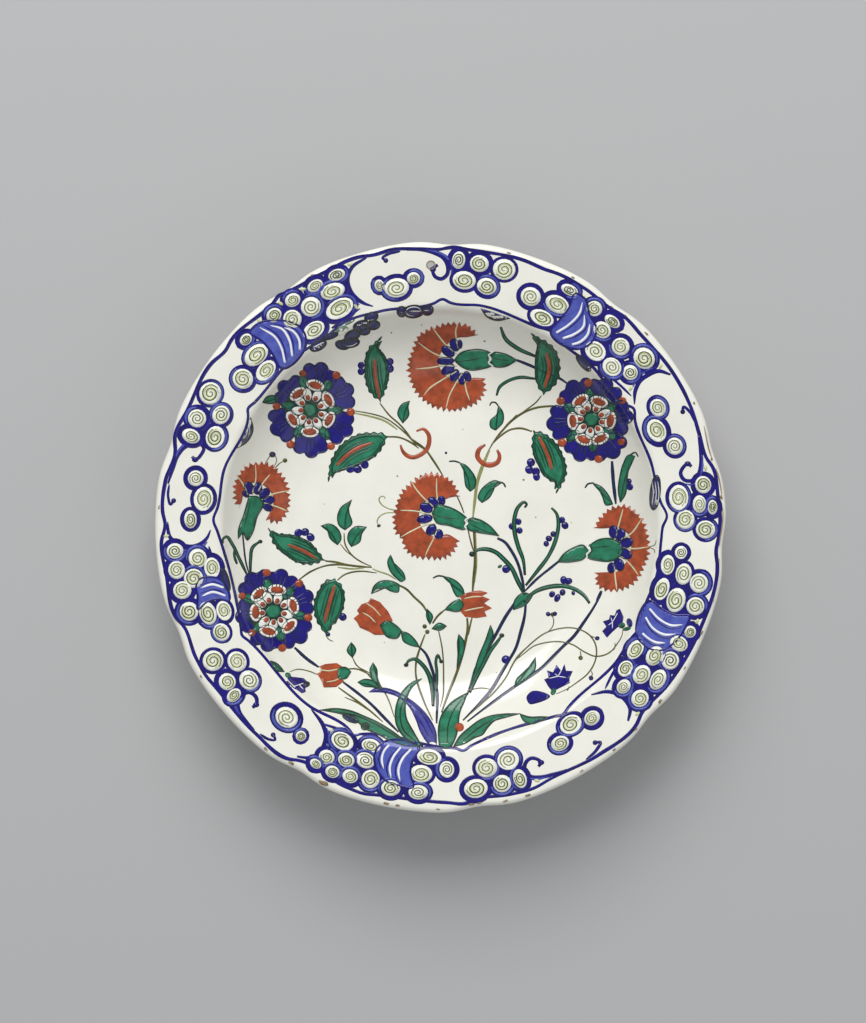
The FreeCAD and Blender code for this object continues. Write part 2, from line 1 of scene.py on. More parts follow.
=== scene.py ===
"""Hand painted stonepaste dish: the fired foot, the white glazed dish, and the painting under its
glaze, laid down motif by motif in the painter's order. Lengths in the sections are millimetres on
the dish, with +Y at the top of the painting, unless a name says metres."""

import math

import bpy
import numpy as np
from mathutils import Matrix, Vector, geometry


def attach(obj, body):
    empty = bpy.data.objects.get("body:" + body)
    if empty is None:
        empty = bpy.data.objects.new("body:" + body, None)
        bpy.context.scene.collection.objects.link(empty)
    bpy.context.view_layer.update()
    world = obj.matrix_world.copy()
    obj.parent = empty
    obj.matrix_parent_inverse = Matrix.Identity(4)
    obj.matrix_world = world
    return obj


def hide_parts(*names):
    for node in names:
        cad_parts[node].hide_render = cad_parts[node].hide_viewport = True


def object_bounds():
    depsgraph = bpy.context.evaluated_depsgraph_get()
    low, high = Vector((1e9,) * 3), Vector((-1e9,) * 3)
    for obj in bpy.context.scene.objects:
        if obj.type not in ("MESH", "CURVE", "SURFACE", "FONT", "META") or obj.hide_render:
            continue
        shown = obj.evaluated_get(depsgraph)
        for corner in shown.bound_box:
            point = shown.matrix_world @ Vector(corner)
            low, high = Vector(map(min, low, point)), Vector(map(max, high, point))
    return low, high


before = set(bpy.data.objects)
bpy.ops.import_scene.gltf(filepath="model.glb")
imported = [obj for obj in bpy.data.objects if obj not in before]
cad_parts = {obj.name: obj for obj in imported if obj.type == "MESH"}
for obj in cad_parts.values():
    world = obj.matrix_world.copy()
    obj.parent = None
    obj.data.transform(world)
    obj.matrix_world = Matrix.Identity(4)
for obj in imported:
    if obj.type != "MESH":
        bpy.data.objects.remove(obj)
cad_low, cad_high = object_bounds()


# ---------------------------------------------------------------- foot ring and base
# The foot was turned from the same stonepaste as the dish. Its standing edge was wiped bare of
# glaze, so it fired to a matt sandy biscuit, and the base inside it kept a thin glassy coat.


def linear(hex_colour):
    """The linear colour of an sRGB hex value."""
    parts = [int(hex_colour[i : i + 2], 16) / 255 for i in (1, 3, 5)]
    return [p / 12.92 if p <= 0.04045 else ((p + 0.055) / 1.055) ** 2.4 for p in parts] + [1.0]


def add_node(material, kind, settings=None, links=None):
    """Adds a node, with its settings by name or socket number and its links by socket."""
    made = material.node_tree.nodes.new("ShaderNode" + kind)
    for key, value in (settings or {}).items():
        if isinstance(key, str) and hasattr(made, key):
            setattr(made, key, value)
        else:
            made.inputs[key].default_value = value
    for key, source in (links or {}).items():
        material.node_tree.links.new(source, made.inputs[key])
    return made


def fired_colour(name, middle, deep, patch_mm, pooled=0.0, roughness=0.14, contrast=0.6):
    """A fired surface: patches of two tones, and the deep tone where the pool attribute is high."""
    material = bpy.data.materials.new(name)
    material.use_nodes = True
    material.node_tree.nodes.clear()
    place = add_node(material, "TexCoord").outputs["Object"]
    scale = {"Scale": 1000 / patch_mm, "Detail": 3.0, "Roughness": 0.6}
    patches = add_node(material, "TexNoise", scale, {"Vector": place})
    spread = {"From Min": 0.38, "From Max": 0.68, "To Min": 0.0, "To Max": contrast}
    amount = add_node(material, "MapRange", spread, {"Value": patches.outputs["Fac"]}).outputs[0]
    if pooled:
        pool = add_node(material, "Attribute", {"attribute_name": "pool"})
        amount = add_node(
            material,
            "Math",
            {"operation": "MULTIPLY_ADD", "use_clamp": True, 1: pooled},
            {0: pool.outputs["Fac"], 2: amount},
        ).outputs[0]
    tones = {"data_type": "RGBA", 6: linear(middle), 7: linear(deep)}
    colour = add_node(material, "Mix", tones, {0: amount}).outputs[2]
    shader = add_node(
        material,
        "BsdfPrincipled",
        {"Roughness": roughness, "IOR": 1.5},
        {"Base Color": colour},
    )
    add_node(material, "OutputMaterial", links={"Surface": shader.outputs[0]})
    return material


# Biscuit: fine sandy stonepaste with iron specks, matt because no glaze covers it.
biscuit = fired_colour("sandy_stonepaste_biscuit", "#CDBDA0", "#B59F7C", 3.0, roughness=0.85)
# White glaze: an alkali lead glaze over white slip, faintly warm, with soft cloudy patches.
white_glaze = fired_colour("clear_glaze_on_white_slip", "#EEEDE2", "#E5E4D8", 22.0)

for node_name, finish in [
    ("foot_ring", biscuit),
    ("foot_glaze", white_glaze),
    ("base_glaze", white_glaze),
]:
    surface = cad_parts[node_name].data
    surface.materials.clear()
    surface.materials.append(finish)


# ---------------------------------------------------------------- the glazed dish
# One thrown and turned stonepaste dish with a deep well and a flat bracketed rim, covered in white
# slip and clear glaze. It is turned here as one skin round the body, which the coats hide.

MM = 0.001
FLOOR_Z, FLOOR_R = 15.5, 72.0
WALL_Z, WALL_RADIUS = 62.5, 47.0
LIP_R, LIP_Z, LIP_RADIUS = 120.535, 38.828, 7.0
STEEP, RISE = math.radians(64), math.radians(9)
LIP_START = FLOOR_R + WALL_RADIUS * math.sin(STEEP)
LIP_END = LIP_R - LIP_RADIUS * math.sin(RISE)
RIM_Z = LIP_Z + LIP_RADIUS * math.cos(RISE)
RIM_R, RIM_THICK = 150.0, 5.8
OUTER_CURVE_R, OUTER_CURVE_Z, OUTER_CURVE_RADIUS, OUTER_CORNER = 88, 36, 27.7, 8.3
FOOT_R, COAT_FOOT_Z, UNDERSIDE_Z = 86.5, 8.3, 8.8
WALL_TURN, RIM_TURN = 26, 9
BRACKET_VALLEYS = [16, 52, 88, 123, 163, 202, 240, 278, 318, 356]
HOLE_ANGLE, HOLE_DISTANCE, HOLE_RADIUS = 92.1, 137.9, 1.9
RIM_SPREAD, VALLEY_DEPTH, VALLEY_WIDTH = 0.95, 2.1, 4.5
CREST_DIP, CREST_TURN, CREST_WIDTH = 0.5, 18, 9
BRACKET_START, BRACKET_BAND = 124, 24


def face_height(x, y):
    """Height of the glazed face above the table, at a place on the dish."""
    r = np.hypot(x, y)
    wall = WALL_Z - np.sqrt(WALL_RADIUS**2 - np.clip(r - FLOOR_R, 0, LIP_START - FLOOR_R) ** 2)
    lip = LIP_Z + np.sqrt(np.maximum(LIP_RADIUS**2 - (r - LIP_R) ** 2, 0))
    rim = RIM_Z + (r - LIP_END) * math.tan(RISE)
    return np.select([r < FLOOR_R, r < LIP_START, r < LIP_END], [FLOOR_Z, wall, lip], rim)


def rim_reach(angle):
    """How far the bracketed edge stands out or in from a plain circle, by angle in degrees."""
    gap = np.min([np.abs((angle - v + 180) % 360 - 180) for v in BRACKET_VALLEYS], axis=0)
    valley = VALLEY_DEPTH * np.exp(-((gap / VALLEY_WIDTH) ** 2))
    crest = CREST_DIP * np.exp(-(((gap - CREST_TURN) / CREST_WIDTH) ** 2))
    return RIM_SPREAD - valley - crest


def arc(centre, radius, start, end, pieces):
    """Points on an arc of the section, from start to end in degrees."""
    turns = np.radians(np.linspace(start, end, pieces + 1))
    return [(centre[0] + radius * math.cos(t), centre[1] + radius * math.sin(t)) for t in turns]


half = RIM_THICK / 2
edge_r = RIM_R - half
edge_z = RIM_Z + (edge_r - LIP_END) * math.tan(RISE) - half / math.cos(RISE)
outer_end = (
    OUTER_CURVE_R + OUTER_CURVE_RADIUS * math.sin(STEEP),
    OUTER_CURVE_Z - OUTER_CURVE_RADIUS * math.cos(STEEP),
)
under = (edge_r + half * math.sin(RISE), edge_z - half * math.cos(RISE))
reach = (under[1] - outer_end[1] - (under[0] - outer_end[0]) * math.tan(RISE)) / (
    math.tan(STEEP) - math.tan(RISE)
)
trim = OUTER_CORNER * math.tan((STEEP - RISE) / 2)
corner_x = outer_end[0] + reach + trim * math.cos(RISE)
corner_z = outer_end[1] + reach * math.tan(STEEP) + trim * math.sin(RISE)
corner_centre = (
    corner_x + OUTER_CORNER * math.sin(RISE),
    corner_z - OUTER_CORNER * math.cos(RISE),
)

section = [(r, FLOOR_Z) for r in np.linspace(0, FLOOR_R, 13)[:-1]]
section += arc((FLOOR_R, WALL_Z), WALL_RADIUS, -90, -WALL_TURN, 34)
section += arc((LIP_R, LIP_Z), LIP_RADIUS, 180 - WALL_TURN, 90 + RIM_TURN, 10)[1:]
section += [
    (r, RIM_Z + (r - LIP_END) * math.tan(RISE))
    for r in np.linspace(LIP_END, edge_r - half * math.sin(RISE), 16)[1:-1]
]
section += arc((edge_r, edge_z), half, 90 + RIM_TURN, RIM_TURN - 90, 10)
section += arc(corner_centre, OUTER_CORNER, 90 + RIM_TURN, 180 - WALL_TURN, 7)
section += arc((OUTER_CURVE_R, OUTER_CURVE_Z), OUTER_CURVE_RADIUS, -WALL_TURN, -90, 14)
section += [(FOOT_R, COAT_FOOT_Z), (FOOT_R, UNDERSIDE_Z), (0, UNDERSIDE_Z)]

profile = bpy.data.meshes.new("glazed_dish")
profile.from_pydata(
    [(r * MM, 0, z * MM) for r, z in section], [(i, i + 1) for i in range(len(section) - 1)], []
)
dish = bpy.data.objects.new("glazed_dish", profile)
bpy.context.collection.objects.link(dish)
bpy.ops.object.select_all(action="DESELECT")
bpy.context.view_layer.objects.active = dish
dish.select_set(True)
bpy.ops.object.mode_set(mode="EDIT")
bpy.ops.mesh.select_all(action="SELECT")
bpy.ops.mesh.spin(steps=480, angle=math.tau, center=(0, 0, 0), axis=(0, 0, 1))
bpy.ops.mesh.select_all(action="SELECT")
bpy.ops.mesh.remove_doubles(threshold=0.000002)
bpy.ops.mesh.normals_make_consistent(inside=False)
bpy.ops.object.mode_set(mode="OBJECT")

# The brackets are cut in the rim: its outer part moves out or in along its own slope.
turned = np.empty(len(dish.data.vertices) * 3)
dish.data.vertices.foreach_get("co", turned)
turned = turned.reshape(-1, 3) / MM
radius = np.hypot(turned[:, 0], turned[:, 1])
blend = np.clip((radius - BRACKET_START) / BRACKET_BAND, 0, 1)
shift = rim_reach(np.degrees(np.arctan2(turned[:, 1], turned[:, 0]))) * blend**2 * (3 - 2 * blend)
turned[:, :2] *= (1 + shift / np.maximum(radius, 1))[:, None]
turned[:, 2] += shift * math.tan(RISE)
dish.data.vertices.foreach_set("co", (turned * MM).ravel())

# The hanging hole was pierced through the rim before glazing.
hole_turn = math.radians(HOLE_ANGLE)
hole_x, hole_y = HOLE_DISTANCE * math.cos(hole_turn), HOLE_DISTANCE * math.sin(hole_turn)
bpy.ops.mesh.primitive_cylinder_add(
    vertices=40, radius=HOLE_RADIUS * MM, depth=0.03, location=(hole_x * MM, hole_y * MM, 0.045)
)
drill = bpy.context.object
pierce = dish.modifiers.new("pierce", "BOOLEAN")
pierce.operation = "DIFFERENCE"
pierce.object = drill
bpy.context.view_layer.objects.active = dish
bpy.ops.object.modifier_apply(modifier="pierce")
bpy.data.objects.remove(drill)

bpy.ops.object.select_all(action="DESELECT")
dish.select_set(True)
bpy.ops.object.shade_smooth_by_angle(angle=math.radians(35))
dish.data.materials.clear()
dish.data.materials.append(white_glaze)
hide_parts("glaze_coat", "slip_coat", "fritware_body")
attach(dish, "root")


# ---------------------------------------------------------------- border lines
# Two brushed cobalt lines frame the rim: one just inside the bracketed edge, stepped where its
# strokes meet, and one on the edge of the well with a small peak between every two brackets.

brush_wobble = np.random.default_rng(7)
# Paint heights are above the glazed face. A wash or a full stroke starts a little below it, and a
# light stroke a little inside the paint it lies on. Touches that follow one another are lifted
# apart, so that where they overlap their tops don't coincide.
PAINT_FOOT, SHOULDER, CROWN = -0.03, 0.05, 0.07
LIGHT_EDGE, LIGHT_CROWN = 0.02, 0.06
TOUCH_LIFT, LIFT_STEPS = 0.0004, 60


def at(angle, distance):
    """A place on the dish by its angle in degrees and its distance from the middle."""
    return (distance * math.cos(math.radians(angle)), distance * math.sin(math.radians(angle)))


def curve_through(points, step, closed=False):
    """An even smooth curve through the points, as a hand draws it."""
    p = np.array(points, float)
    if closed:
        p = np.vstack([p[-1], p, p[:2]])
    else:
        p = np.vstack([2 * p[0] - p[1], p, 2 * p[-1] - p[-2]])
    gap = np.maximum(np.linalg.norm(np.diff(p, axis=0), axis=1), 1e-6)[:, None]
    slope = np.diff(p, axis=0) / gap
    lean = (slope[:-1] * gap[1:] + slope[1:] * gap[:-1]) / (gap[:-1] + gap[1:])
    p, gap = p[1:-1], gap[1:-1]
    parts = []
    for i in range(len(p) - 1):
        t = np.arange(max(1, math.ceil(gap[i, 0] / step)))[:, None]
        t = t / len(t)
        parts.append(
            (2 * t**3 - 3 * t**2 + 1) * p[i]
            + (t**3 - 2 * t**2 + t) * gap[i] * lean[i]
            + (3 * t**2 - 2 * t**3) * p[i + 1]
            + (t**3 - t**2) * gap[i] * lean[i + 1]
        )
    return np.vstack(parts if closed else parts + [p[-1:]])


def new_pot():
    """An empty pot of one colour, to be filled with touches of the brush."""
    return {"points": [], "faces": [], "pool": [], "smooth": [], "count": 0, "touches": 0}


def add_touch(pot, points, height, faces, pool, smooth):
    """Adds one closed touch of paint; its height is above the glazed face."""
    pot["touches"] += 1
    lift = TOUCH_LIFT * (pot["touches"] % LIFT_STEPS)
    z = face_height(points[:, 0], points[:, 1]) + height + lift
    pot["points"].append(np.column_stack([points, z]))
    pot["faces"] += [[pot["count"] + v for v in face] for face in faces]
    pot["pool"].append(pool)
    pot["smooth"] += smooth
    pot["count"] += len(points)


def stroke(pot, points, width, level=0.0, ends=(0.45, 0.25), closed=False, step=1.3, light=False):
    """One brush stroke: it swells from its ends, and lies on paint that is level thick."""
    path = curve_through(points, step, closed)
    count = len(path)
    if closed:
        along = np.roll(path, -1, 0) - np.roll(path, 1, 0)
        swell = np.ones(count)
    else:
        along = np.gradient(path, axis=0)
        run = np.linspace(0, 1, count)
        grow = np.clip(run / 0.3, 0, 1)
        fade = np.clip((1 - run) / 0.3, 0, 1)
        swell = (ends[0] + (1 - ends[0]) * np.sin(grow * math.pi / 2)) * (
            ends[1] + (1 - ends[1]) * np.sin(fade * math.pi / 2)
        )
    along /= np.maximum(np.linalg.norm(along, axis=1), 1e-9)[:, None]
    side = np.column_stack([-along[:, 1], along[:, 0]])
    waver = np.interp(
        np.linspace(0, 1, count),
        np.linspace(0, 1, 3 + count // 8),
        brush_wobble.normal(0, 0.06, 3 + count // 8),
    )
    half_width = width / 2 * swell * (1 + waver)
    if light:
        across, pools = (-1, 0, 1), (1, 0, 1)
        rise = (level - LIGHT_EDGE, level + LIGHT_CROWN, level - LIGHT_EDGE)
    else:
        across, pools = (-1, -0.75, 0, 0.75, 1), (1, 0.8, 0, 0.8, 1)
        rise = (PAINT_FOOT, level + SHOULDER, level + CROWN, level + SHOULDER, PAINT_FOOT)
    n = len(across)
    spots = path[:, None] + (side * half_width[:, None])[:, None] * np.array(across)[:, None]
    faces, smooth = [], []
    for i in range(count if closed else count - 1):
        a, b = i * n, (i + 1) % count * n
        for j in range(n):
            k = (j + 1) % n
            faces.append([a + j, b + j, b + k, a + k])
            smooth.append(k != 0 and (light or 0 < j < n - 2))
    if not closed:
        faces += [list(range(n)), [(count - 1) * n + j for j in reversed(range(n))]]
        smooth += [False, False]
    add_touch(
        pot, spots.reshape(-1, 2), np.tile(rise, count), faces, np.tile(pools, count), smooth
    )


def wash(pot, outline, level=0.06, grain=1.6, straight=False, pool_width=1.1):
    """Fills an outline with one even wash of paint whose top is level above the glazed face."""
    rim = np.array(outline, float) if straight else curve_through(outline, 0.9, True)
    low, high = rim.min(0) + grain / 2, rim.max(0)
    x, y = np.meshgrid(np.arange(low[0], high[0], grain), np.arange(low[1], high[1], grain))
    grid = np.column_stack([x.ravel(), y.ravel()])
    if len(grid):
        start, end = rim, np.roll(rim, -1, 0)
        crosses = (start[:, 1] > grid[:, 1:]) != (end[:, 1] > grid[:, 1:])
        drop = np.where(end[:, 1] == start[:, 1], 1e-9, end[:, 1] - start[:, 1])
        hit = start[:, 0] + (grid[:, 1:] - start[:, 1]) * (end[:, 0] - start[:, 0]) / drop
        inside = (crosses & (grid[:, :1] < hit)).sum(1) % 2 == 1
        away = np.linalg.norm(grid[:, None] - rim, axis=2).min(1) > 0.45 * grain
        grid = grid[inside & away]
    spots = [Vector(p) for p in np.vstack([rim, grid])]
    flat, _, tops, *_ = geometry.delaunay_2d_cdt(spots, [], [list(range(len(rim)))], 1, 1e-5)
    flat = np.array([tuple(p) for p in flat])
    n = len(flat)
    faces, walls = [], {}
    for face in tops:
        a, b, c = (flat[v] for v in face[:3])
        if (b[0] - a[0]) * (c[1] - a[1]) < (b[1] - a[1]) * (c[0] - a[0]):
            face = face[::-1]
        faces.append(list(face))
        for a, b in zip(face, face[1:] + face[:1]):
            if (b, a) in walls:
                del walls[b, a]
            else:
                walls[a, b] = True
    top_count = len(faces)
    faces += [[v + n for v in reversed(face)] for face in faces]
    faces += [[b, a, a + n, b + n] for a, b in walls]
    smooth = [True] * top_count + [False] * (len(faces) - top_count)
    gap = np.linalg.norm(flat[:, None] - rim, axis=2).min(1)
    pool = np.clip(1 - gap / pool_width, 0, 1)
    height = np.concatenate([np.full(n, level), np.full(n, PAINT_FOOT)])
    add_touch(pot, np.vstack([flat, flat]), height, faces, np.tile(pool, 2), smooth)


def oval(centre, long, short, turn=0.0, count=14):
    """An outline round a small oval dab, turned by degrees."""
    t = np.linspace(0, math.tau, count, endpoint=False)
    c, s = math.cos(math.radians(turn)), math.sin(math.radians(turn))
    x, y = long * np.cos(t), short * np.sin(t)
    return np.column_stack([centre[0] + c * x - s * y, centre[1] + s * x + c * y])


def dab(pot, x, y, long, short=None, turn=0.0, level=0.06):
    """A round or oval touch of a full brush."""
    wash(pot, oval((x, y), long, short or long, turn), level, straight=True)


def fire(pot, name, finish, *nodes, slot="clear_glaze"):
    """Makes the pot's touches one piece of fired paint, which may stand for CAD nodes."""
    mesh = bpy.data.meshes.new(name)
    mesh.from_pydata(np.vstack(pot["points"]) * MM, [], pot["faces"])
    mesh.polygons.foreach_set("use_smooth", pot["smooth"])
    pool = mesh.attributes.new("pool", "FLOAT", "POINT")
    pool.data.foreach_set("value", np.concatenate(pot["pool"]).astype(np.float32))
    mesh.materials.append(finish)
    piece = bpy.data.objects.new(name, mesh)
    bpy.context.collection.objects.link(piece)
    if nodes:
        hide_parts(*nodes)
    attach(piece, "root")
    return piece


# Cobalt oxide under glaze: strong blue, almost black where the brush left a thick edge.
cobalt = fired_colour("cobalt_under_glaze", "#19117F", "#0B0541", 4.0, pooled=0.4)
# The same cobalt thinned with water, used for shading and for the paler strokes.
cobalt_wash = fired_colour("thinned_cobalt_under_glaze", "#5460B4", "#2C2E90", 5.0, pooled=0.5)

OUTER_LINE = [
    (0, 147), (6.4, 146.9), (12.6, 146.4), (14.1, 144.9), (19.7, 144.7), (24.7, 145.9),
    (33.6, 146.7), (43.6, 146.1), (49.4, 146.7), (51.5, 145.8), (58.8, 146.6), (65, 146.8),
    (67.9, 146.2), (72.4, 146.9), (85, 146.7), (87.3, 147.3), (90.3, 146), (94.7, 146.7),
    (99.6, 148), (103.9, 147.3), (106.9, 148.3), (114.8, 147.1), (123.7, 147.8), (124.8, 148.5),
    (126.7, 147.1), (138.5, 147.4), (140.6, 146.3), (144.5, 148), (155.2, 146.6), (161.3, 147.6),
    (164.1, 145.1), (170.5, 146.7), (177.2, 146.3), (179.4, 145), (183, 147), (190, 146.5),
    (199.2, 146.8), (200.8, 145.2), (208, 146), (212, 146.3), (216, 145.3), (228, 146),
    (237, 145.8), (238.6, 144), (250, 145.7), (254, 146.1), (256.5, 145.1), (271, 145.1),
    (275.4, 146), (277, 144.8), (285, 145.6), (290, 146), (293.3, 144.8), (305, 146.1),
    (315.2, 146.1), (316.6, 144.8), (325, 145.6), (333, 146.5), (338, 146.8), (352.2, 147),
    (354.9, 145.6), (358, 146.5),
]
INNER_LINE = [
    (0, 117.3), (2.5, 119.5), (6.4, 116.9), (16.9, 116.2), (28.7, 117), (31.5, 119.4),
    (33.5, 116.8), (46.6, 116.5), (57.9, 116.9), (59.7, 118.3), (64.2, 117.2), (79.4, 118.6),
    (87.6, 118.4), (89.4, 120), (91.7, 117.9), (105.4, 118), (116.4, 118.9), (119.7, 117.4),
    (131.6, 118), (146.1, 117.9), (148.6, 119), (150, 117.2), (165.9, 118.1), (175, 118),
    (178.3, 119.8), (181.2, 117.7), (207, 118.1), (208.6, 119.3), (210.5, 117.9), (233.4, 117.2),
    (245.8, 117.4), (247.4, 119), (249, 117.2), (271, 116.5), (274, 117.2), (275.7, 118.6),
    (278, 116.7), (301, 116.8), (303.3, 118.2), (305, 117), (322, 116.9), (331.2, 117.2),
    (332.5, 118), (335.2, 116.4), (348, 117), (357, 116.7),
]
line_pot = new_pot()
stroke(line_pot, [at(*p) for p in OUTER_LINE], 2.1, closed=True, step=1.0)
stroke(line_pot, [at(*p) for p in INNER_LINE], 1.65, closed=True, step=1.0)
fire(line_pot, "border_lines", cobalt)


# ---------------------------------------------------------------- breaking waves
# Five blank panels break the border, each a wave that rises from the well and curls over in a
# hook. The painter drew their edges in two or three passes of thick cobalt and left the glaze bare.

WAVE_EDGES = [
    [(105.4, 147), (109, 144), (110.6, 139), (110.9, 133.3), (110.2, 128.3), (109, 124.7),
     (107, 121.5)],
    [(33.5, 145.2), (35.6, 140.9), (36.2, 135.5), (36.1, 130.2), (35, 125.5), (32.3, 121)],
    [(314, 142.2), (316.2, 138.3), (316.9, 132.5), (316.5, 127.5), (315.5, 124), (311.9, 119)],
    [(238, 142.6), (240.4, 139.7), (241.8, 134.7), (241.9, 130.4), (241.2, 125.4),
     (239.5, 121.8), (234.6, 117.9)],
    [(179, 144), (182.4, 142.2), (184, 136.8), (184.5, 131.1), (183.9, 126.1), (182.7, 123.2),
     (180.8, 121.3)],
]
WAVE_TAILS = [
    [(110.2, 122.6), (114.5, 120.7), (118.7, 119.4)],
    [(34.4, 122), (38.5, 120.5), (42.6, 119)],
    [(315.5, 121.8), (318.6, 119.8), (321.5, 118.6)],
    [(247.4, 119.2), (243, 119.5), (239.4, 121)],
    [(184.8, 122.6), (187.2, 121.6), (189.6, 119.3)],
]
WAVE_HOOKS = [
    [(97, 146.9), (94, 146.2), (91.3, 144.2), (89.3, 141.4), (88.4, 137.4), (88.5, 132.9),
     (89.8, 130.6), (91.3, 132), (91.7, 135.6), (90.6, 138)],
    [(19.5, 144), (16.3, 142.7), (13.4, 141), (11.4, 138.4), (10.4, 134.4), (10.9, 130.8),
     (12.5, 129.6), (13.8, 131.8), (14.3, 134.4), (13.5, 136)],
    [(297.5, 144.2), (294.5, 143.2), (291.8, 141.9), (289.8, 139.5), (289.1, 136.1),
     (289.7, 132.5), (291.2, 130.9), (292.7, 132.9), (293.1, 135), (292.2, 136.4)],
    [(227.5, 145.2), (225, 144.7), (222.5, 143.7), (220.9, 141), (220.3, 137.2), (220.9, 133.3),
     (222.7, 132.3), (224, 135), (223.8, 137.4)],
    [(171, 145.2), (168, 144.2), (164.8, 143.4), (162.7, 141), (161.5, 137.3), (160.9, 134.4),
     (161.6, 131.4), (163.2, 131.7), (164.7, 134), (164.2, 136)],
]
HANGING_CURLS = [
    [(22.1, 144.9), (24.8, 144.5), (26.3, 142.6), (25.4, 141.2)],
    [(98.3, 146.5), (100.8, 146.2), (102.2, 144.6), (101.6, 143.1)],
    [(171.1, 144.6), (173.8, 144.2), (175.3, 142.6), (174.4, 141.2)],
    [(228.9, 144.7), (231, 143.9), (232.2, 141.9), (231.2, 140.6)],
    [(302, 144.5), (304.9, 143.4), (306.6, 141.2), (305.6, 139.8)],
]
wave_pot, wave_shade_pot = new_pot(), new_pot()
for edge in WAVE_EDGES:
    stroke(wave_pot, [at(*p) for p in edge], 2.5, ends=(0.5, 0.3))
    outside = [at(a + 1.0, r) for a, r in edge[1:-1]]
    stroke(wave_shade_pot, outside, 1.9, ends=(0.3, 0.3))
for tail in WAVE_TAILS:
    stroke(wave_pot, [at(*p) for p in tail], 1.5, ends=(0.4, 0.8))
for hook in WAVE_HOOKS:
    stroke(wave_pot, [at(*p) for p in hook], 2.3, ends=(0.5, 0.8))
    dab(wave_pot, *at(*hook[-2]), 1.7, 1.4)
    outside = [at(a - 0.9, r) for a, r in hook[1:6]]
    stroke(wave_shade_pot, outside, 1.8, ends=(0.3, 0.3))
for curl in HANGING_CURLS:
    stroke(wave_pot, [at(*p) for p in curl], 1.7, ends=(0.4, 0.9))
    dab(wave_pot, *at(*curl[-1]), 1.3)
fire(wave_pot, "wave_edges", cobalt)
fire(wave_shade_pot, "wave_shading", cobalt_wash)


# ---------------------------------------------------------------- rocks
# Between the waves five rocks stand on the well's edge: a wedge of thinned cobalt with a dark
# outline, and two or three curved slivers of bare glaze left in it.

# Each rock: its edge away from the wedge's thin side, and its white slivers.
ROCKS = [
    ([(60.0, 141.9), (59.6, 134), (60.0, 126), (60.6, 118.6)],
     [[(57.7, 139.8), (57, 134.8), (57.7, 125.5), (59.2, 119.1)],
      [(55.8, 134.8), (54.5, 129.8), (55.3, 123.3), (57, 118.5)],
      [(53.6, 132.6), (52.6, 127.6), (53, 121.9), (54.2, 118.5)]]),
    ([(134.4, 143.2), (133.9, 136), (134.2, 127), (135.2, 119)],
     [[(132.2, 141.7), (131.1, 132.4), (131.6, 126.6), (133.5, 119.2)],
      [(130.2, 138.8), (128.7, 133.4), (129, 126.6), (131, 119.2)],
      [(128.1, 133.4), (127, 128.8), (127.2, 123.1), (128.5, 119.2)]]),
    ([(340.2, 139.5), (339.4, 132), (339.6, 125), (340.6, 118.2)],
     [[(338, 137.5), (336.9, 132.5), (337.1, 125.4), (338.6, 118.4)],
      [(335.5, 136.1), (334.3, 131.1), (334.5, 124), (336.2, 118.2)],
      [(332.7, 133.3), (331.8, 129), (331.8, 124), (332.2, 120.4)]]),
    ([(264, 138), (263, 130), (263.2, 124), (264.4, 118)],
     [[(261, 135.8), (260.2, 130.4), (260.7, 124), (262.5, 118.2)],
      [(258.9, 135), (258.1, 129.7), (258.4, 124), (259.8, 118.2)],
      [(256.8, 131.1), (255.8, 126.1), (256, 121.1), (256.8, 118.2)]]),
    ([(198.8, 135), (197.8, 129), (197.9, 124), (199.2, 118.4)],
     [[(196.2, 131), (196, 125), (197.8, 119)],
      [(194.3, 130.4), (194.2, 124), (195.7, 118.8)]]),
]
rock_pot, rock_line_pot, sliver_pot = new_pot(), new_pot(), new_pot()
for thick_side, slivers in ROCKS:
    last = slivers[-1]
    thin_side = [(a - 1.9, r) for a, r in reversed(last)]
    crest = [(slivers[1][0][0] - 0.6, slivers[1][0][1] + 2.2)]
    crest += [(slivers[0][0][0] - 0.4, slivers[0][0][1] + 2.0)]
    outline = [at(*p) for p in thick_side + thin_side + crest]
    wash(rock_pot, outline, 0.09, 1.0)
    stroke(rock_line_pot, outline, 1.4, level=0.09, closed=True, step=1.0)
    for sliver in slivers:
        stroke(sliver_pot, [at(*p) for p in sliver], 1.35, level=0.17, ends=(0.25, 0.9))
        stroke(rock_line_pot, [at(a - 0.72, r) for a, r in sliver], 0.9, level=0.1)
fire(rock_pot, "rock_washes", cobalt_wash)
fire(rock_line_pot, "rock_lines", cobalt)
# Bare glaze left in the painting shows as clean white.
bare_white = fired_colour("bare_white_glaze", "#EEEEEA", "#DFE2EA", 4.0)
fire(sliver_pot, "rock_slivers", bare_white)


# ---------------------------------------------------------------- scroll spirals
# The rest of the border is packed with scrolls like the curls of surf: a cobalt ring, a disc
# tinted with thin green, and a dark green line wound a little over twice into it.

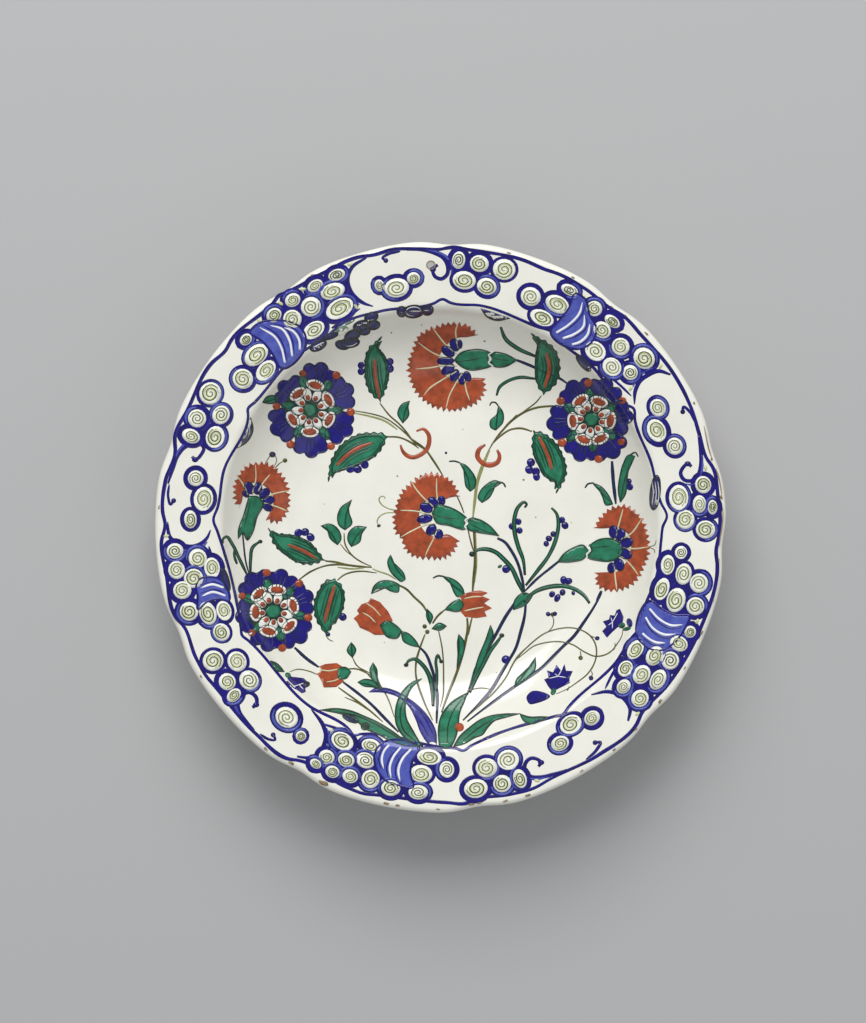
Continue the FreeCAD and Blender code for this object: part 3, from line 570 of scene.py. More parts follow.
# Each scroll is its angle and distance, half its width along the border and half its height, and
# the same two for the outside of its ring where that differs from the plain ring.
SCROLLS = """
39.6,139.2,5.7,5.0 39.1,128.9,3.8,3.6 43,123.6,5,4.3 45,134.2,4.5,4.3 28.7,130.6,4.5,3.8,6.4,5.1
24,124.7,6,4.5,8.6,6.7 19,130.5,4.3,4,6.2,5.5 9.1,140.1,4.3,3.9 4.1,143.6,3.6,2.2 5,136.9,4.4,3.2
7,126.5,6.4,4.8,7.9,6.2 1.7,129.1,4.8,4.5,6.2,5.7 359.4,139.6,4.5,4.8,6.2,6.3 86.1,140.7,3.2,4.3
81.6,140.1,4.7,4.1 76.1,139.6,5.7,5.2,7,6.2 84.5,130.5,5.9,4.5,7.3,5.9 79.1,129,5,4.1,6.7,6
68.6,130.3,5.1,4.6,7,6.6 62.3,132.4,6.3,4.2 61.4,142,4.5,2.5 64.1,122.5,6.3,3.7,7.9,4.8
54.8,140.6,3.9,3.7 50.1,141,4.3,2.5 50.6,134.2,4.6,3.9 48.6,123.5,5.6,4.5 128.2,141.8,3.9,3.3
123.1,142.5,3.9,3.2 117.5,143,4.1,2.7 112.4,143.4,4.3,2.7 125.5,134.4,4.6,4.6
120.5,134.5,5.1,4.8 114.6,136.4,6.3,3.9 122.8,123.3,6,3.8 114.8,126.7,7.5,4.6
104.2,131.1,2.3,2.9,4.1,4.6 100.4,128,6.3,4.8,8.2,6.7 96.2,131.7,3.2,2.9,5.5,4.6
178.3,131.8,4.5,3,5.9,4.9 173.3,125.8,6.1,4.8,7.8,6.3 168.8,131.5,3.9,3.8,6.2,5.6
160,139.8,3.4,4.6 156,140.3,4.5,4.5 149.9,140.1,5.7,5.4,7.1,6.4 158.3,127.8,5.6,4.6,7.3,6.2
153,129.8,4.8,4.2,6.2,5.8 143.2,130.1,5,5.2,6.8,6.6 137,132.7,6.8,4.6,8,6 136.1,142.2,3.2,2.5
138.2,123.5,6,3.9,8.2,5 219.2,140.4,2.8,3.9 216,138.8,4.3,4.1 210.5,139,5.1,5.2,6.5,6.5
218.7,129.3,5.1,4.6,6.3,6 213.5,128.6,5.2,4.6,6.4,6 205.7,128.1,4.5,4,5.5,5
198.6,139.7,4.7,4.6 193.8,140,4.4,4.5 189.3,140.8,4.5,4.1 185.2,140.4,3.8,4.1
200.4,130.8,6,4.1 191.8,132.9,4.8,4.8 187.4,129,4.8,4.5 201.2,122.5,5,3.6,6.8,4.5
190.2,122.4,5.2,3.8 265.2,140.3,4.9,3.5 259.2,140.1,4.8,3.8 254.5,137.9,4.5,4.6
250.1,139.7,3.9,3.3 246.2,141,3.5,2.9 242.2,141,2.9,2.1 243.7,135.3,3.9,3.5
265.5,130.5,5.7,4.3,7.3,5.4 252.2,129.3,4.8,3.8 248,132.5,4.1,3.4 267.2,121.5,6.2,3.8
252.4,121.1,4.8,3.2 245.4,124.3,5.9,4.2 236.3,132.5,2.5,2.5,3.7,4.1 231.1,129.1,5.9,5,8.7,7.3
308.4,128.6,4.1,3.4,5.9,5.8 303.4,124.8,5.7,4.5,8.2,5.4 298.9,130.4,4.6,3.6,6.3,5.7
287.5,139.1,3.2,4.8 283.5,139.1,4.5,4.3 277.7,139.1,6,4.7 286.2,127.9,5.5,5,7.3,6.8
280.8,129.3,5.5,4.8,6.8,6.6 271.5,127.9,3.6,4.1,6.3,6.2 347.7,139.3,4.8,4.5
342.7,140.6,4.5,4.4 337.2,142.6,2.9,2.7 333.9,139.8,3.7,4.5 329.8,140,4.5,4.3 324.9,140,5.5,3.6
319.3,138.6,4.5,4.1 353.9,127.5,3.2,2.9,4.6,4.8 349,130.5,5.4,3.9,7,5 342.7,130,6.3,4.6
328.9,131.7,5.2,3.9 323.7,131.5,5,4.1 318.9,128.1,3.8,3.1 350.5,121.5,5,3.3 344.3,121.3,5.8,3.4
327.8,121.5,5.3,3.5 322.5,122.9,4.2,3.4
"""
GREEN_BITS = [
    (12.5, 143), (36.1, 143.4), (36, 124), (111, 124.3), (131.3, 144.2), (125.6, 144.6),
    (120, 144.4), (109, 146.1), (181.9, 144.4), (290.8, 142.9), (339.8, 144), (316.5, 143),
    (242, 122), (57.9, 142.5),
]
RING_SPREAD, PLAIN_RING, COIL_TURNS, LIP_OUTSIDE = 0.6, (3.0, 2.7), 2.3, 128
ring_pot, ring_shade_pot, disc_pot, tint_pot, coil_pot = (new_pot() for _ in range(5))
scroll_hand = np.random.default_rng(21)
for scroll in SCROLLS.split():
    angle, distance, long, short, *ring = map(float, scroll.split(","))
    ring = [reach + RING_SPREAD for reach in ring] or [long + PLAIN_RING[0], short + PLAIN_RING[1]]
    middle = at(angle, distance)
    turn = angle + 90 + scroll_hand.uniform(-6, 6)
    width = (ring[0] - long + ring[1] - short) / 2 + 0.45
    between = ((long + ring[0]) / 2, (short + ring[1]) / 2)
    on_lip = distance < LIP_OUTSIDE
    loop = oval(middle, *between, turn, 12)
    stroke(ring_pot, loop, width, closed=True, step=1.0 if on_lip else 2.2)
    if scroll_hand.random() < 0.7:
        pale = np.roll(loop, scroll_hand.integers(12), 0)[: scroll_hand.integers(5, 9)]
        stroke(ring_shade_pot, pale, width * 0.6, level=0.08, light=True, step=1.5)
    disc = oval(middle, long + 0.3, short + 0.3, turn, 16)
    wash(disc_pot, disc, 0.11, 1.2 if on_lip else 3.0, True, 0.6)
    start = scroll_hand.uniform(0, math.tau)
    hand = scroll_hand.choice([-1, 1], p=[0.25, 0.75])
    for pot, shrink, width, offset in (
        (tint_pot, 0.78, 0.12 * (long + short), 0.0),
        (coil_pot, 0.86, scroll_hand.uniform(0.5, 0.85), 0.55),
    ):
        turns = np.linspace(0, COIL_TURNS, 20)
        size = shrink * (1 - 0.88 * turns / COIL_TURNS)
        phase = start + offset + hand * math.tau * turns
        c, s = math.cos(math.radians(turn)), math.sin(math.radians(turn))
        x, y = long * size * np.cos(phase), short * size * np.sin(phase)
        coil = np.column_stack([middle[0] + c * x - s * y, middle[1] + s * x + c * y])
        level = 0.11 if pot is tint_pot else 0.14
        stroke(pot, coil, width, level=level, light=True, ends=(0.5, 0.5), step=1.8)
for angle, distance in GREEN_BITS:
    x, y = at(angle, distance)
    dab(tint_pot, x, y, 1.5, 0.8, angle + scroll_hand.uniform(0, 90), level=0.12)

# The clean glaze inside each scroll, with a faint green cast.
disc_tint = fired_colour("scroll_disc_white", "#F3F3EA", "#E6E9D2", 4.0, pooled=0.15)
# Copper green thinned until it fired to a pale straw colour on the white.
straw_green = fired_colour("thin_straw_green", "#D3D8A4", "#BEC685", 2.0, pooled=0.15)
# The same green drawn thick with a fine brush, which fired to dark olive.
coil_green = fired_colour("dark_olive_line", "#4E5A2E", "#2E3A1C", 3.0, pooled=0.2)
fire(ring_pot, "scroll_rings", cobalt)
fire(ring_shade_pot, "scroll_ring_shading", cobalt_wash)
fire(disc_pot, "scroll_discs", disc_tint)
fire(tint_pot, "scroll_tints", straw_green)
fire(coil_pot, "scroll_coils", coil_green)


# ---------------------------------------------------------------- cloud scraps in the well
# Small scraps of cloud and half blossoms hang from the border into the well, painted in a
# greyed cobalt with near-black outlines and a few lines of bare glaze.

# Cobalt dulled with black, as the scraps in the well have it.
grey_cobalt = fired_colour("greyed_cobalt", "#34346C", "#1C1C44", 4.0, pooled=0.5)
# The black outline colour, with a green cast where it is thin.
outline_black = fired_colour("green_black_outline", "#26301E", "#141A12", 5.0)
# Copper green that washed out and greyed under the glaze.
grey_green = fired_colour("washed_out_green", "#7D9483", "#4E6A56", 4.0, pooled=0.4)

scrap_pot, scrap_line_pot, scrap_green_pot, scrap_white_pot = (new_pot() for _ in range(4))
for x, y, long, short, turn in [
    (-48, 97.6, 5.0, 2.5, 8), (-52, 96.3, 3.6, 2.2, -10), (-42, 106, 4.2, 2.6, 20),
    (-40.5, 104, 3.2, 2.4, 0), (-46.5, 101.3, 4.5, 2.4, 25), (-58, 100.6, 4.2, 1.3, 20),
    (-64.5, 95.6, 4.6, 2.2, 27), (-36.5, 110.6, 3.6, 2.4, 20), (-35.5, 106.6, 3.4, 2.2, 10),
    (-14.3, 113.7, 5.4, 3.1, 4), (-6.8, 114.4, 3.0, 2.4, 10), (-20.5, 113.6, 2.4, 2.6, 0),
    (-89.5, 38.4, 1.4, 1.2, 0), (75.5, 86.5, 5.5, 1.8, -49), (-47.5, -101.4, 4.5, 1.6, -24),
    (-71, -83.5, 1.5, 1.2, 0), (113.4, 18, 9.2, 2.4, 85), (-113.3, -28, 6.2, 1.5, 106),
]:
    wash(scrap_pot, oval((x, y), long, short, turn), 0.1, 1.1)
    edge = oval((x, y), long, short, turn, 12)
    stroke(scrap_line_pot, edge, 0.8, level=0.1, closed=True, step=0.9)
wash(scrap_pot, [(-100.1, 57.2), (-99.6, 50.8), (-102.5, 45.5), (-107.3, 41.7), (-105.2, 48)])
stroke(scrap_line_pot, [(-100.1, 57.8), (-99.4, 50.8), (-102.4, 45), (-107.4, 41.3)], 0.9)
wash(scrap_pot, [(21.5, 115), (25.4, 114), (31, 112), (36.6, 110), (29, 109.4), (24.6, 111.4)])
stroke(scrap_line_pot, [(21.3, 115.2), (24.4, 111.2), (29, 109.3), (36.8, 110)], 0.9, level=0.06)
for x, y, long, short, turn in [(-53, 103.4, 4.6, 2.2, 20), (-49.5, 107.6, 5, 1.3, 24)]:
    dab(scrap_green_pot, x, y, long, short, turn)
ring = oval((-14.3, 113.7), 4.0, 2.2, 4, 12)
stroke(scrap_white_pot, ring[:10], 0.5, level=0.12)
stroke(scrap_white_pot, [(-67.2, 94.6), (-64.2, 96.1), (-61.6, 97.5)], 0.7, level=0.12)
stroke(scrap_white_pot, [(-44.2, 97.6), (-46.6, 96.1), (-50, 95.8)], 0.45, level=0.12)
for x in (112.2, 113.6, 115.0):
    stroke(scrap_white_pot, [(x - 0.3, 11.5), (x + 0.3, 18), (x - 0.4, 24)], 0.45, level=0.12)
for shift in (0, 1.9):
    stroke(
        scrap_white_pot,
        [(-103.6 + shift, 46.4 + shift), (-102.1 + shift * 0.6, 50), (-101.2, 54)],
        0.4,
        level=0.12,
    )
fire(scrap_pot, "cloud_scraps", grey_cobalt)
fire(scrap_line_pot, "cloud_scrap_outlines", outline_black)
fire(scrap_green_pot, "cloud_scrap_greens", grey_green)
fire(scrap_white_pot, "cloud_scrap_lines", bare_white)


# ---------------------------------------------------------------- stems
# Most flowers rise from one tuft at the foot of the painting on long springing stems, each drawn
# in one pull of a loaded brush: olive lines, paler ones beside them, and thick blue-black ones.

# Fine olive-black line of the stems and vines.
olive_line = fired_colour("olive_stem_line", "#5E5C2A", "#3C3A18", 6.0, pooled=0.2)
# The same olive thinned, laid beside the darker line.
pale_olive = fired_colour("thin_olive_stem", "#9A9E66", "#6E7240", 6.0, pooled=0.2)
# Black with cobalt in it, for the blue stems.
navy_line = fired_colour("blue_black_stem", "#1C2850", "#101830", 6.0, pooled=0.2)

OLIVE_STEMS = [
    ([(-45.5, 61.8), (-37, 60.3), (-30, 58.2), (-21.5, 52.4), (-15.4, 46.4), (-12, 42)], 0.9),
    ([(-32.4, 66), (-27.1, 59.3), (-22, 54.8), (-17.6, 49.8), (-14.8, 45.9), (-8.1, 40.8)], 1.0),
    ([(-28.2, 48), (-22.7, 47.8), (-15.4, 44.7), (-11.5, 41.8)], 1.2),
    ([(-15.4, 46.9), (-8.1, 41.3), (-4, 35.6), (-1, 31), (1.4, 27)], 1.3),
    ([(40.8, 59.8), (37.2, 55.9), (31.6, 49.8), (27.7, 44), (24.4, 38)], 0.9),
    ([(54, 70), (51.7, 67), (46.2, 62.6), (40.8, 58.8)], 0.9),
    ([(60.3, 64.4), (51.7, 63.6), (44.4, 60.9), (37.8, 56.3), (31, 48.6)], 1.5),
    ([(49, 50.8), (43.3, 52.5), (37.8, 51.9), (31.6, 48), (27.2, 43.6)], 1.3),
    ([(-51.5, -3.5), (-51, -9.2), (-47.3, -15.3), (-41.7, -19.2), (-37, -21.2)], 0.9),
    ([(-53.6, -9.2), (-49.9, -13.6), (-46.8, -16)], 0.6),
    ([(-61.5, -18.4), (-56, -19), (-50.3, -20.4), (-44.6, -21.2), (-36.6, -21.8)], 1.4),
    ([(-75.5, -28.4), (-69.9, -24.4), (-61.5, -21), (-53.6, -20.3), (-45, -21.5)], 1.2),
    ([(-55, -28.7), (-51.9, -26.1), (-46.3, -24.2), (-41.8, -23.9), (-34, -24.8)], 1.0),
    ([(-23.9, -30.6), (-18.3, -33.4), (-13.8, -37.9), (-9.3, -42.2), (-6.5, -46.9)], 1.3),
    ([(8.7, 16.7), (11, 11.5), (12.7, 7.1)], 0.9),
    ([(14.6, -1), (16, -7), (17.7, -13.1)], 0.9),
    ([(17.6, 4.4), (18.3, -5), (18.6, -19.9), (17.8, -28), (17.2, -35)], 1.9),
    ([(-8.2, -57.5), (-11, -65.2), (-12.9, -72), (-13.2, -78), (-9.3, -92), (-4.2, -103)], 1.2),
    ([(-4.2, -51.8), (-1.4, -47.8), (2.5, -44.4)], 1.2),
    ([(14.3, -48.7), (14.6, -54), (13.2, -62.5), (9.3, -76.5), (4.2, -89.3), (0.6, -99)], 1.6),
    ([(16.9, -48.7), (15.9, -53), (14.9, -58)], 1.1),
    ([(-1.1, -55.1), (0.8, -64.2), (1.7, -82), (1.4, -90.4), (0, -96)], 0.9),
    ([(-54.3, -85.6), (-47, -90.8), (-37.5, -97.8), (-30.6, -103.6)], 1.0),
    ([(-50.9, -90.7), (-44.3, -93.6), (-37.5, -98)], 0.8),
    ([(-40.8, -76.4), (-37.4, -80.3), (-31.8, -85.3), (-28.4, -90.9), (-24.5, -101.2)], 0.9),
    ([(-47, -70), (-44.8, -74), (-37.5, -78.3)], 0.8),
    ([(-50, -76), (-45, -76), (-37.7, -79)], 0.9),
    ([(48.5, -62.5), (41.5, -69.2), (34, -82), (28.4, -88.7), (22.2, -94.2), (12, -103)], 1.0),
    ([(-65.4, -78.7), (-70.4, -76.7), (-76.6, -75.8), (-80, -77)], 0.7),
    ([(-61, -58.6), (-59.5, -60.4), (-57.2, -61.4)], 0.6),
    ([(14.3, -88.1), (17.7, -86.8), (22.2, -86.2), (26.7, -86.8)], 0.7),
    ([(-93.9, 32.4), (-92, 35.8), (-89.4, 38.8), (-87.4, 36.3), (-88.8, 31.2)], 0.55),
    ([(-88.2, 31.2), (-85.4, 34), (-82.1, 35.6)], 0.6),
    ([(110.6, -10.6), (113.2, -9.7), (114, -6.9)], 0.5),
    ([(111.1, -11.1), (113, -12.3), (113.3, -13.9)], 0.5),
]
PALE_STEMS = [
    ([(-45.5, 60.6), (-37, 58.8), (-30, 56.6), (-23, 51.8)], 1.2),
    ([(-36.3, -22.6), (-33.5, -23.8), (-26.7, -26.3), (-23.9, -28.3)], 0.9),
    ([(26.2, 40.9), (22.8, 33), (20, 24.6), (18.3, 12.8), (17.4, 4.9)], 1.9),
    ([(-21.4, 8.7), (-27.3, 9.4), (-31.8, 12.2), (-32.9, 14.5), (-31.5, 16.2), (-29.5, 15.6),
      (-30.1, 14.7)], 0.75),
    ([(-23.9, 7.4), (-29.5, 7.1), (-32.9, 4.9), (-33.8, 2.1), (-32.6, 0.6)], 0.75),
    ([(-40.8, -22.1), (-46, -22.6), (-55, -21.8)], 1.0),
    ([(18.6, -3.5), (19.2, -13.1), (19.4, -19.9), (18.4, -30)], 0.8),
]
NAVY_STEMS = [
    ([(30.4, -6.2), (34, -8), (38, -13.1), (41, -18.7), (43.4, -26.6), (45.2, -36)], 1.9),
    ([(64.2, -17.8), (59.7, -21.5), (51.3, -28.3), (45.2, -34.5)], 1.7),
    ([(45.7, -37), (45.1, -47.2), (42.8, -56.8), (40.2, -65.2), (36.3, -72), (32.3, -78.7),
      (27.3, -87), (21, -94.2), (12, -103)], 2.0),
    ([(42, -37), (40, -40.5), (35.1, -47.8), (29.5, -58), (23.9, -67.5), (18.8, -76.5),
      (16.6, -83.7), (14.2, -90)], 2.2),
    ([(84.9, -37.7), (81, -44.4), (76.5, -51.1), (71, -58.7), (65.4, -64), (59.8, -69.7),
      (54.1, -75.3), (47.3, -80.2), (40.6, -84.6), (25.6, -95.3), (14.3, -103.6)], 1.9),
    ([(-77.7, -64.3), (-71.5, -70.1), (-64.8, -74.9)], 1.9),
    ([(-51.9, -82.8), (-44.3, -88.5), (-37.5, -94), (-28.4, -102.9), (-22.2, -108.8)], 1.7),
    ([(-11.5, -64.2), (-8.2, -67.5), (-4.8, -75.3), (-2, -87.6), (-2, -104.6)], 1.9),
    ([(91.4, 34.9), (92.2, 24), (93.6, 12)], 2.0),
    ([(-105.2, -2.4), (-104.6, -9), (-103.3, -19.2), (-101.6, -25.6)], 1.1),
    ([(40.6, 88.7), (43.3, 87.7), (51, 84.4), (57, 81.5), (63.3, 79), (67.4, 76.2)], 1.8),
    ([(86, -34.2), (84.8, -37), (83.3, -40)], 1.9),
    ([(22.8, -69.2), (18.3, -78.7), (15.6, -86.5)], 1.6),
]
VINES = [
    ([(37.2, -75.9), (40.6, -70.9), (48.5, -62.5), (56.3, -56.8), (63.1, -54.6), (69.3, -54),
      (75.4, -55.3), (79.8, -58.2), (82.4, -62.5), (82.9, -67.3), (81.2, -73.3), (78.2, -77.7),
      (72.3, -82.6), (67.1, -86.1), (61.4, -88.8)], 0.85),
    ([(40, -71.5), (44.5, -68), (50.1, -63.8), (55.7, -62.1), (64.2, -61.5), (70.4, -62.9),
      (76.5, -66.6), (82, -68.8), (86.4, -68.2), (90.3, -66), (93.5, -62), (96.1, -57.5),
      (96.7, -53.6)], 0.8),
    ([(57.4, -56.5), (60.2, -52.9), (60.5, -49.5), (59.4, -47.3)], 0.6),
    ([(74.3, -66.2), (74.8, -68), (74.6, -69.5)], 0.6),
    ([(79.2, -57.6), (80.8, -58.6), (82.4, -59)], 0.6),
    ([(79.8, -76.5), (80.4, -77.8), (80, -79.2)], 0.6),
    ([(91.5, -65.4), (92.4, -63.6), (92.4, -61.5)], 0.6),
    ([(67, -87), (67.9, -86), (68.2, -84.5)], 0.6),
]
for name, finish, stems in [
    ("olive_stems", olive_line, OLIVE_STEMS + VINES),
    ("pale_stems", pale_olive, PALE_STEMS),
    ("blue_black_stems", navy_line, NAVY_STEMS),
]:
    pot = new_pot()
    for points, width in stems:
        stroke(pot, points, width, ends=(0.7, 0.5))
    if name == "olive_stems":
        for x, y in [(-7, -56.3), (-8.4, -53.4), (60, -47), (74.6, -69.8), (-82.9, 35.3)]:
            dab(pot, x, y, 1.2)
    if name == "pale_stems":
        dab(pot, -32.9, 0.4, 1.1, 0.8, 20)
    fire(pot, name, finish)


# ---------------------------------------------------------------- leaves
# Broad leaves and small curled ones, filled with copper green that ran dark at the edges. The
# outline was drawn first in green-black, and the six broad leaves carry a rib of raised red clay.

# Copper green as a wash that ran dark at its edges.
leaf_green = fired_colour("copper_green_under_glaze", "#2A8060", "#0E4E33", 5.0, pooled=0.6)
# The same green laid on twice, where the brush went back along the edges and veins.
deep_green = fired_colour("double_copper_green", "#14573D", "#0B3B29", 3.0, pooled=0.3)
# Black drawn over wet green, so the outline has a green cast.
leaf_line = fired_colour("green_black_leaf_line", "#17382A", "#10251A", 5.0)
# Armenian bole: a red iron clay so thick that it stands up under the glaze.
red_bole = fired_colour("raised_red_bole", "#B24F2C", "#863D22", 4.5, 0.3, 0.16, contrast=0.95)


def two_sided(first, second):
    """An outline with a sharp tip and base: one side runs up to the tip, the other back down."""
    up, down = curve_through(first, 0.9), curve_through(second, 0.9)
    return np.vstack([up[:-1], down[:-1]])


def leaf(greens, lines, first, second, line_width=0.7):
    """A filled leaf with its two outlines."""
    wash(greens, two_sided(first, second), 0.1, 1.0, straight=True)
    stroke(lines, first, line_width, level=0.1, ends=(0.7, 0.4), step=0.9)
    stroke(lines, second[::-1], line_width, level=0.1, ends=(0.7, 0.4), step=0.9)


def saw_toothed(points, middle, pitch, depth):
    """A curve cut into small teeth that point away from the middle of its flower or leaf."""
    path = curve_through(points, 0.4)
    run = np.concatenate([[0], np.cumsum(np.linalg.norm(np.diff(path, axis=0), axis=1))])
    count = 2 * round(run[-1] / pitch)
    places = np.linspace(0, run[-1], count + 1)
    spots = np.column_stack([np.interp(places, run, path[:, k]) for k in (0, 1)])
    along = np.gradient(spots, axis=0)
    along /= np.linalg.norm(along, axis=1)[:, None]
    outward = np.column_stack([-along[:, 1], along[:, 0]])
    if ((spots - middle) * outward).sum() < 0:
        outward = -outward
    push = np.where(np.arange(count + 1) % 2 == 0, depth * 0.2, -depth)
    push = push + brush_wobble.normal(0, depth * 0.13, count + 1)
    push[[0, -1]] = 0
    return spots + outward * push[:, None]


BROAD_LEAVES = [
    ([(-32, 66.5), (-38, 72), (-40.5, 84.5), (-38.8, 94), (-31, 101)],
     [(-31, 101), (-33.6, 96.5), (-30, 91.5), (-27.6, 83.4), (-28, 77.8), (-32, 66.5)]),
    ([(-28, 48), (-30, 49.6), (-36, 50.3), (-43, 49.7), (-49, 47), (-54, 43), (-57, 38.4),
      (-59.7, 31.2), (-59.8, 24)],
     [(-59.8, 24), (-58.4, 27.4), (-54.7, 29.2), (-49.6, 30.6), (-41.7, 34), (-35, 37.5),
      (-31, 42), (-28, 48)]),
    ([(55, 70.2), (61.2, 75.5), (63.5, 83), (63, 88.2), (59.4, 95.3), (53.2, 99.5),
      (47.7, 102.3)],
     [(47.7, 102.3), (51.8, 97.3), (51, 93), (50.7, 84), (51.5, 75.7), (55, 70.2)]),
    ([(49.5, 51.5), (56, 49.6), (61, 45.8), (65.5, 38.4), (67.6, 30), (65.9, 23.5),
      (61.7, 17.8)],
     [(61.7, 17.8), (62.3, 22), (58.6, 24.6), (55.2, 27.4), (53, 31.9), (50.4, 36.8),
      (48.9, 43), (49.5, 51.5)]),
    ([(-61.5, -18.2), (-65.4, -13.1), (-68.7, -9.2), (-73.8, -6.4), (-81.6, -4.1),
      (-87.5, -3.6), (-92, -0.8)],
     [(-92, -0.8), (-89.9, -7.4), (-86.6, -12), (-81.6, -15.9), (-77.7, -18.7),
      (-70.4, -20.4), (-61.5, -18.2)]),
    ([(-56.4, -27.8), (-61.4, -28.9), (-64.8, -33.4), (-67, -37.9), (-67.8, -42.7),
      (-66.6, -49.4), (-61, -58.6)],
     [(-61, -58.6), (-57.4, -52.8), (-54, -48.9), (-51.4, -41), (-51, -37.4), (-53, -31.2),
      (-56.4, -27.8)]),
]
LEAF_RIBS = [
    [(-35.4, 89.4), (-34.5, 79), (-32.6, 68.6)],
    [(-55.8, 32.6), (-50.2, 37.9), (-45, 41.5), (-36.2, 44.9)],
    [(56.3, 92.3), (58, 84.2), (55.4, 73.9)],
    [(52.5, 48.3), (56.8, 39.5), (59.7, 30.5)],
    [(-81.6, -9.7), (-73.8, -12.8), (-65.9, -17.3)],
    [(-56.4, -31.2), (-59.7, -42.2), (-62, -51.6)],
]
SMALL_LEAVES = [
    ([(-20.1, 55.3), (-22.8, 60.5), (-20.5, 65.4), (-16.4, 67.2)],
     [(-16.4, 67.2), (-17.3, 64), (-16.8, 60), (-20.1, 55.3)]),
    ([(29.6, 51.5), (27, 53), (26.7, 56.4), (30.2, 60), (31, 64.8)],
     [(31, 64.8), (33.4, 61), (33.4, 55.9), (29.6, 51.5)]),
    ([(-51, -1.8), (-54, 0.5), (-55, 4.9), (-53.6, 9.4), (-47.3, 14.4)],
     [(-47.3, 14.4), (-48.8, 11.5), (-48.9, 7.7), (-47.4, 1.5), (-51, -1.8)]),
    ([(-55, -9.8), (-58.9, -6.3), (-60.9, -1.3), (-64, 0.4)],
     [(-64, 0.4), (-59.2, 1.4), (-54.1, -2.4), (-53.2, -7), (-55, -9.8)]),
    ([(-47.6, -10.8), (-49.4, -7.5), (-49, -3.5), (-45.6, -0.2), (-39.4, -0.2)],
     [(-39.4, -0.2), (-41.9, -3.5), (-43.1, -8), (-47.6, -10.8)]),
    ([(16, 18.8), (18.4, 21), (18.7, 25.7), (16, 30.2), (13.2, 33), (10.2, 34.2)],
     [(10.2, 34.2), (12.2, 31), (12.9, 26.5), (14, 21), (16, 18.8)]),
    ([(22.2, 12.8), (20.2, 15.2), (21.1, 18.4), (24.5, 22.3), (29, 24.6), (32.9, 23.5)],
     [(32.9, 23.5), (29.5, 22.4), (28.4, 19.5), (25.6, 15), (22.2, 12.8)]),
    ([(-18.7, -28.2), (-20.6, -29.4), (-23.9, -27.2), (-27.3, -22.7), (-28.1, -18.2),
      (-26.6, -15)],
     [(-26.6, -15), (-25.6, -18.6), (-22.8, -21.4), (-19.4, -25.5), (-18.7, -28.2)]),
    ([(-22, -31), (-23.9, -30), (-27.9, -28.9), (-32.4, -29.4), (-35.7, -32.2), (-37, -36)],
     [(-37, -36), (-34.6, -33.6), (-30.1, -32.8), (-25.6, -34.8), (-22.6, -35), (-22, -31)]),
    ([(12.9, -36.2), (12.1, -33.4), (8.7, -29.4), (4.2, -27.2), (1, -26.6)],
     [(1, -26.6), (4.5, -29), (5.9, -31.7), (7.3, -35.1), (9.3, -37.6), (12.9, -36.2)]),
    ([(92, 12), (89.3, 17.3), (85.4, 21.6), (81, 23.4)],
     [(81, 23.4), (84, 20.6), (86.5, 16.2), (88.6, 11.4), (92, 12)]),
    ([(95.9, 12.9), (98.4, 17), (99.2, 25.1), (100.3, 31.3), (103.2, 37.4)],
     [(103.2, 37.4), (100, 38.1), (97.3, 33.6), (95.6, 26.8), (94.8, 18.4), (95.9, 12.9)]),
    ([(-94, 65.6), (-91.6, 68.6), (-88.4, 69.4), (-85.4, 68)],
     [(-85.4, 68), (-86.6, 66), (-90, 65.2), (-94, 65.6)]),
    ([(-30.7, -87.6), (-33.5, -81.4), (-34, -76.4), (-36, -72.6)],
     [(-36, -72.6), (-37.6, -76.4), (-36, -82), (-30.7, -87.6)]),
    ([(-31, -87), (-35.2, -82.6), (-40.8, -81.6), (-44.2, -83)],
     [(-44.2, -83), (-40.8, -85), (-36, -85.6), (-31, -87)]),
    ([(9.8, -57.6), (12.6, -61.4), (12, -68.7), (8.7, -76)],
     [(8.7, -76), (9.4, -68.7), (9.2, -61.4), (9.8, -57.6)]),
    ([(39.5, -85.5), (40.4, -82), (44.4, -77.8), (48.5, -73.6), (50.8, -69.7)],
     [(50.8, -69.7), (50.6, -75.8), (44.8, -82), (39.5, -85.5)]),
    ([(-7.2, -44), (-7.4, -48), (-5.6, -52.4)], [(-5.6, -52.4), (-4.2, -48), (-7.2, -44)]),
    ([(-4.6, -54.6), (-0.6, -51.6), (3.4, -53.2)], [(3.4, -53.2), (0, -55.4), (-4.6, -54.6)]),
    ([(-47, -70), (-49.8, -66.4), (-47.6, -61.8)], [(-47.6, -61.8), (-45.2, -66), (-47, -70)]),
    ([(-89.8, -70.8), (-86.8, -72.2), (-82.4, -76.8)],
     [(-82.4, -76.8), (-86.4, -76), (-89.8, -70.8)]),
    ([(39, -44.6), (39.6, -39.8), (44, -35.6), (49.6, -36.6)],
     [(49.6, -36.6), (46, -41.4), (39, -44.6)]),
]
CURLED_TIPS = [
    [(31, 64.2), (29.6, 66.2), (27.4, 66.4), (26.4, 64.6)], [(10.6, 34), (7.5, 35), (4.6, 34.8)],
    [(32, 23.9), (34, 22.8), (34.8, 21)], [(2.4, -26.8), (-1.5, -26.4), (-4, -27.6)],
    [(82, 23.4), (78.6, 22.6), (77.3, 20.6)], [(100.5, 38), (103.3, 39.3), (104.7, 37)],
]
leaf_pot, leaf_line_pot, leaf_edge_pot, rib_pot = (new_pot() for _ in range(4))
